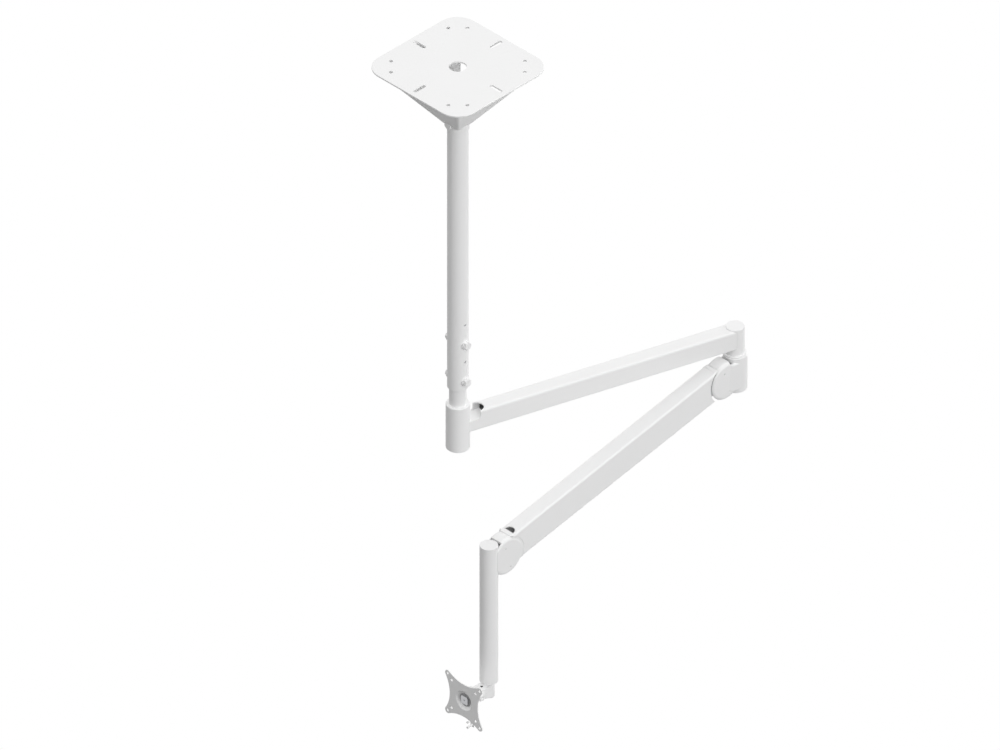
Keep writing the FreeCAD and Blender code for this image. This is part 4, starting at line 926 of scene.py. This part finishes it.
def copies_tree():
    """Copies of a shape, each turned to face its point's direction and given its own small spin."""
    tree = new_tree("screws_on_points", [("Shape", "NodeSocketObject"), ("Largest Spin", "NodeSocketFloat"),
                                         ("Seed", "NodeSocketInt"), ("Material", "NodeSocketMaterial")])
    make, link = tree.nodes.new, tree.links.new
    given = make("NodeGroupInput")
    facing = make("GeometryNodeInputNamedAttribute")
    facing.data_type = "FLOAT_VECTOR"
    facing.inputs["Name"].default_value = "facing"
    aim = make("FunctionNodeAlignRotationToVector")
    aim.axis = "Z"
    link(facing.outputs["Attribute"], aim.inputs["Vector"])
    shape = make("GeometryNodeObjectInfo")
    link(given.outputs["Shape"], shape.inputs["Object"])
    copies = make("GeometryNodeInstanceOnPoints")
    link(given.outputs["Geometry"], copies.inputs["Points"])
    link(shape.outputs["Geometry"], copies.inputs["Instance"])
    link(aim.outputs["Rotation"], copies.inputs["Rotation"])
    spin = make("FunctionNodeRandomValue")
    link(given.outputs["Largest Spin"], spin.inputs[3])
    link(given.outputs["Seed"], spin.inputs["Seed"])
    about = make("FunctionNodeAxisAngleToRotation")
    about.inputs["Axis"].default_value = (0, 0, 1)
    link(spin.outputs[1], about.inputs["Angle"])
    turned = make("GeometryNodeRotateInstances")
    link(copies.outputs["Instances"], turned.inputs["Instances"])
    link(about.outputs["Rotation"], turned.inputs["Rotation"])
    close_tree(tree, turned.outputs["Instances"], given)
    return tree


COPIES_TREE = copies_tree()
LARGEST_SPIN = math.radians(50)


def set_copies(name, shape, places, facing, material, body, nodes_replaced, seed):
    """Copies of a shape at places that all face one way, in place of the CAD nodes named, if any."""
    piece = carrier(name, places)
    direction = piece.data.attributes.new("facing", "FLOAT_VECTOR", "POINT")
    for item in direction.data:
        item.vector = facing
    bpy.context.scene.collection.objects.link(shape)
    run_tree(piece, COPIES_TREE, {"Shape": shape, "Largest Spin": LARGEST_SPIN, "Seed": seed,
                                  "Material": material})
    bpy.data.objects.remove(shape)
    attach(piece, body)
    if nodes_replaced:
        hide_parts(*nodes_replaced)
    return piece


# %% Bolts and nuts of the mast
HEAD_R, HEAD_H = 0.010, 0.0075
NUT_R, NUT_H = 0.009, 0.0065
BOLT_R, BOLT_END = 0.005, 0.002
WASHER_FACE = 0.026
bolt_low, bolt_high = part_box("height_bolts")
half_head = HEAD_R * math.cos(math.radians(30))
levels = [bolt_low[2] + half_head, bolt_high[2] - half_head]
print("bolt levels", [round(level, 4) for level in levels])
set_copies("mast_bolts", hexagon_bolt("bolt_shape", HEAD_R, HEAD_H, BOLT_R, 2 * WASHER_FACE),
           [(WASHER_FACE, 0, level) for level in levels], (1, 0, 0), COATED_STEEL, "mast",
           ["height_bolts"], seed=3)
set_copies("mast_nuts", nut_with_end("nut_shape", NUT_R, NUT_H, BOLT_R, BOLT_END),
           [(-WASHER_FACE, 0, level) for level in levels], (-1, 0, 0), COATED_STEEL, "mast",
           ["height_nuts"], seed=5)

# %% Collar screw
collar_level = (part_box("collar_screw")[0][2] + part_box("collar_screw")[1][2]) / 2
set_copies("collar_bolt", hexagon_bolt("collar_bolt_shape", HEAD_R, HEAD_H, BOLT_R, 2 * collar_radius),
           [(0, -collar_radius, collar_level)], (0, -1, 0), COATED_STEEL, "mast",
           ["collar_screw"], seed=8)
set_copies("collar_bolt_nut", nut_with_end("collar_nut_shape", NUT_R, NUT_H, BOLT_R, BOLT_END),
           [(0, collar_radius, collar_level)], (0, 1, 0), COATED_STEEL, "mast",
           ["collar_nut"], seed=9)

# %% Places of the screws in a node that holds several
ON_FACE = 0.00002
SCREW_REACH = 0.0075


def screw_places(node):
    """Foot of each screw, found from the corners of its outer face."""
    low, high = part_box(node)
    groups = []
    for vertex in nodes[node].data.vertices:
        if abs(vertex.co.x - high[0]) > ON_FACE:
            continue
        for group in groups:
            if (group[0] - vertex.co).length < SCREW_REACH:
                group.append(vertex.co.copy())
                break
        else:
            groups.append([vertex.co.copy()])
    places = []
    for group in groups:
        middle_y = (min(v.y for v in group) + max(v.y for v in group)) / 2
        middle_z = (min(v.z for v in group) + max(v.z for v in group)) / 2
        places.append((low[0], middle_y, middle_z))
    return places


# %% Small socket screws in the mast and in both lugs
GRUB_R = 0.0029
COVER_SCREW_R = 0.00245
SOCKET_SHARE, SOCKET_DEEP = 0.55, 0.7
for name, node, radius, slot, body, seed in (
        ("mast_grub_screws", "grub_screws", GRUB_R, "zinc_steel", "mast", 11),
        ("knuckle_cover_screws", "knuckle_screws", COVER_SCREW_R, "white_coat", "knuckle", 12),
        ("post_cover_screws", "lug_screws", COVER_SCREW_R, "white_coat", "post", 13)):
    depth = 2 * half_width(node)
    shape = socket_screw(name + "_shape", radius, depth, radius * SOCKET_SHARE, depth * SOCKET_DEEP)
    set_copies(name, shape, screw_places(node), (1, 0, 0), MATERIAL_OF_SLOT[slot], body, [node], seed)

# %% [markdown]
# ## Raised disc on the elbow
# The elbow ends in a disc that stands about two millimetres above the arm. Its low round wall faces away
# from the lamps on one side, which draws the dark line that parts the disc from the arm.

# %% Disc on the elbow
DISC_HEIGHT = 0.0022
DISC_SUNK = 0.0002
DISC_EDGE = 0.0006
EDGE_MIDDLE = 0.3 * DISC_EDGE
elbow_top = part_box("elbow_cap")[1][2]
disc_shape = stacked_shape("disc_shape", [
    circle(elbow_radius, -DISC_SUNK), circle(elbow_radius, DISC_HEIGHT - DISC_EDGE),
    circle(elbow_radius - EDGE_MIDDLE, DISC_HEIGHT - EDGE_MIDDLE),
    circle(elbow_radius - DISC_EDGE, DISC_HEIGHT)])
set_copies("elbow_disc", disc_shape, [(ELBOW.x, ELBOW.y, elbow_top)], (0, 0, 1), COATED_STEEL,
           "extension", [], seed=21)

bpy.context.scene.view_settings.view_transform = "Standard"
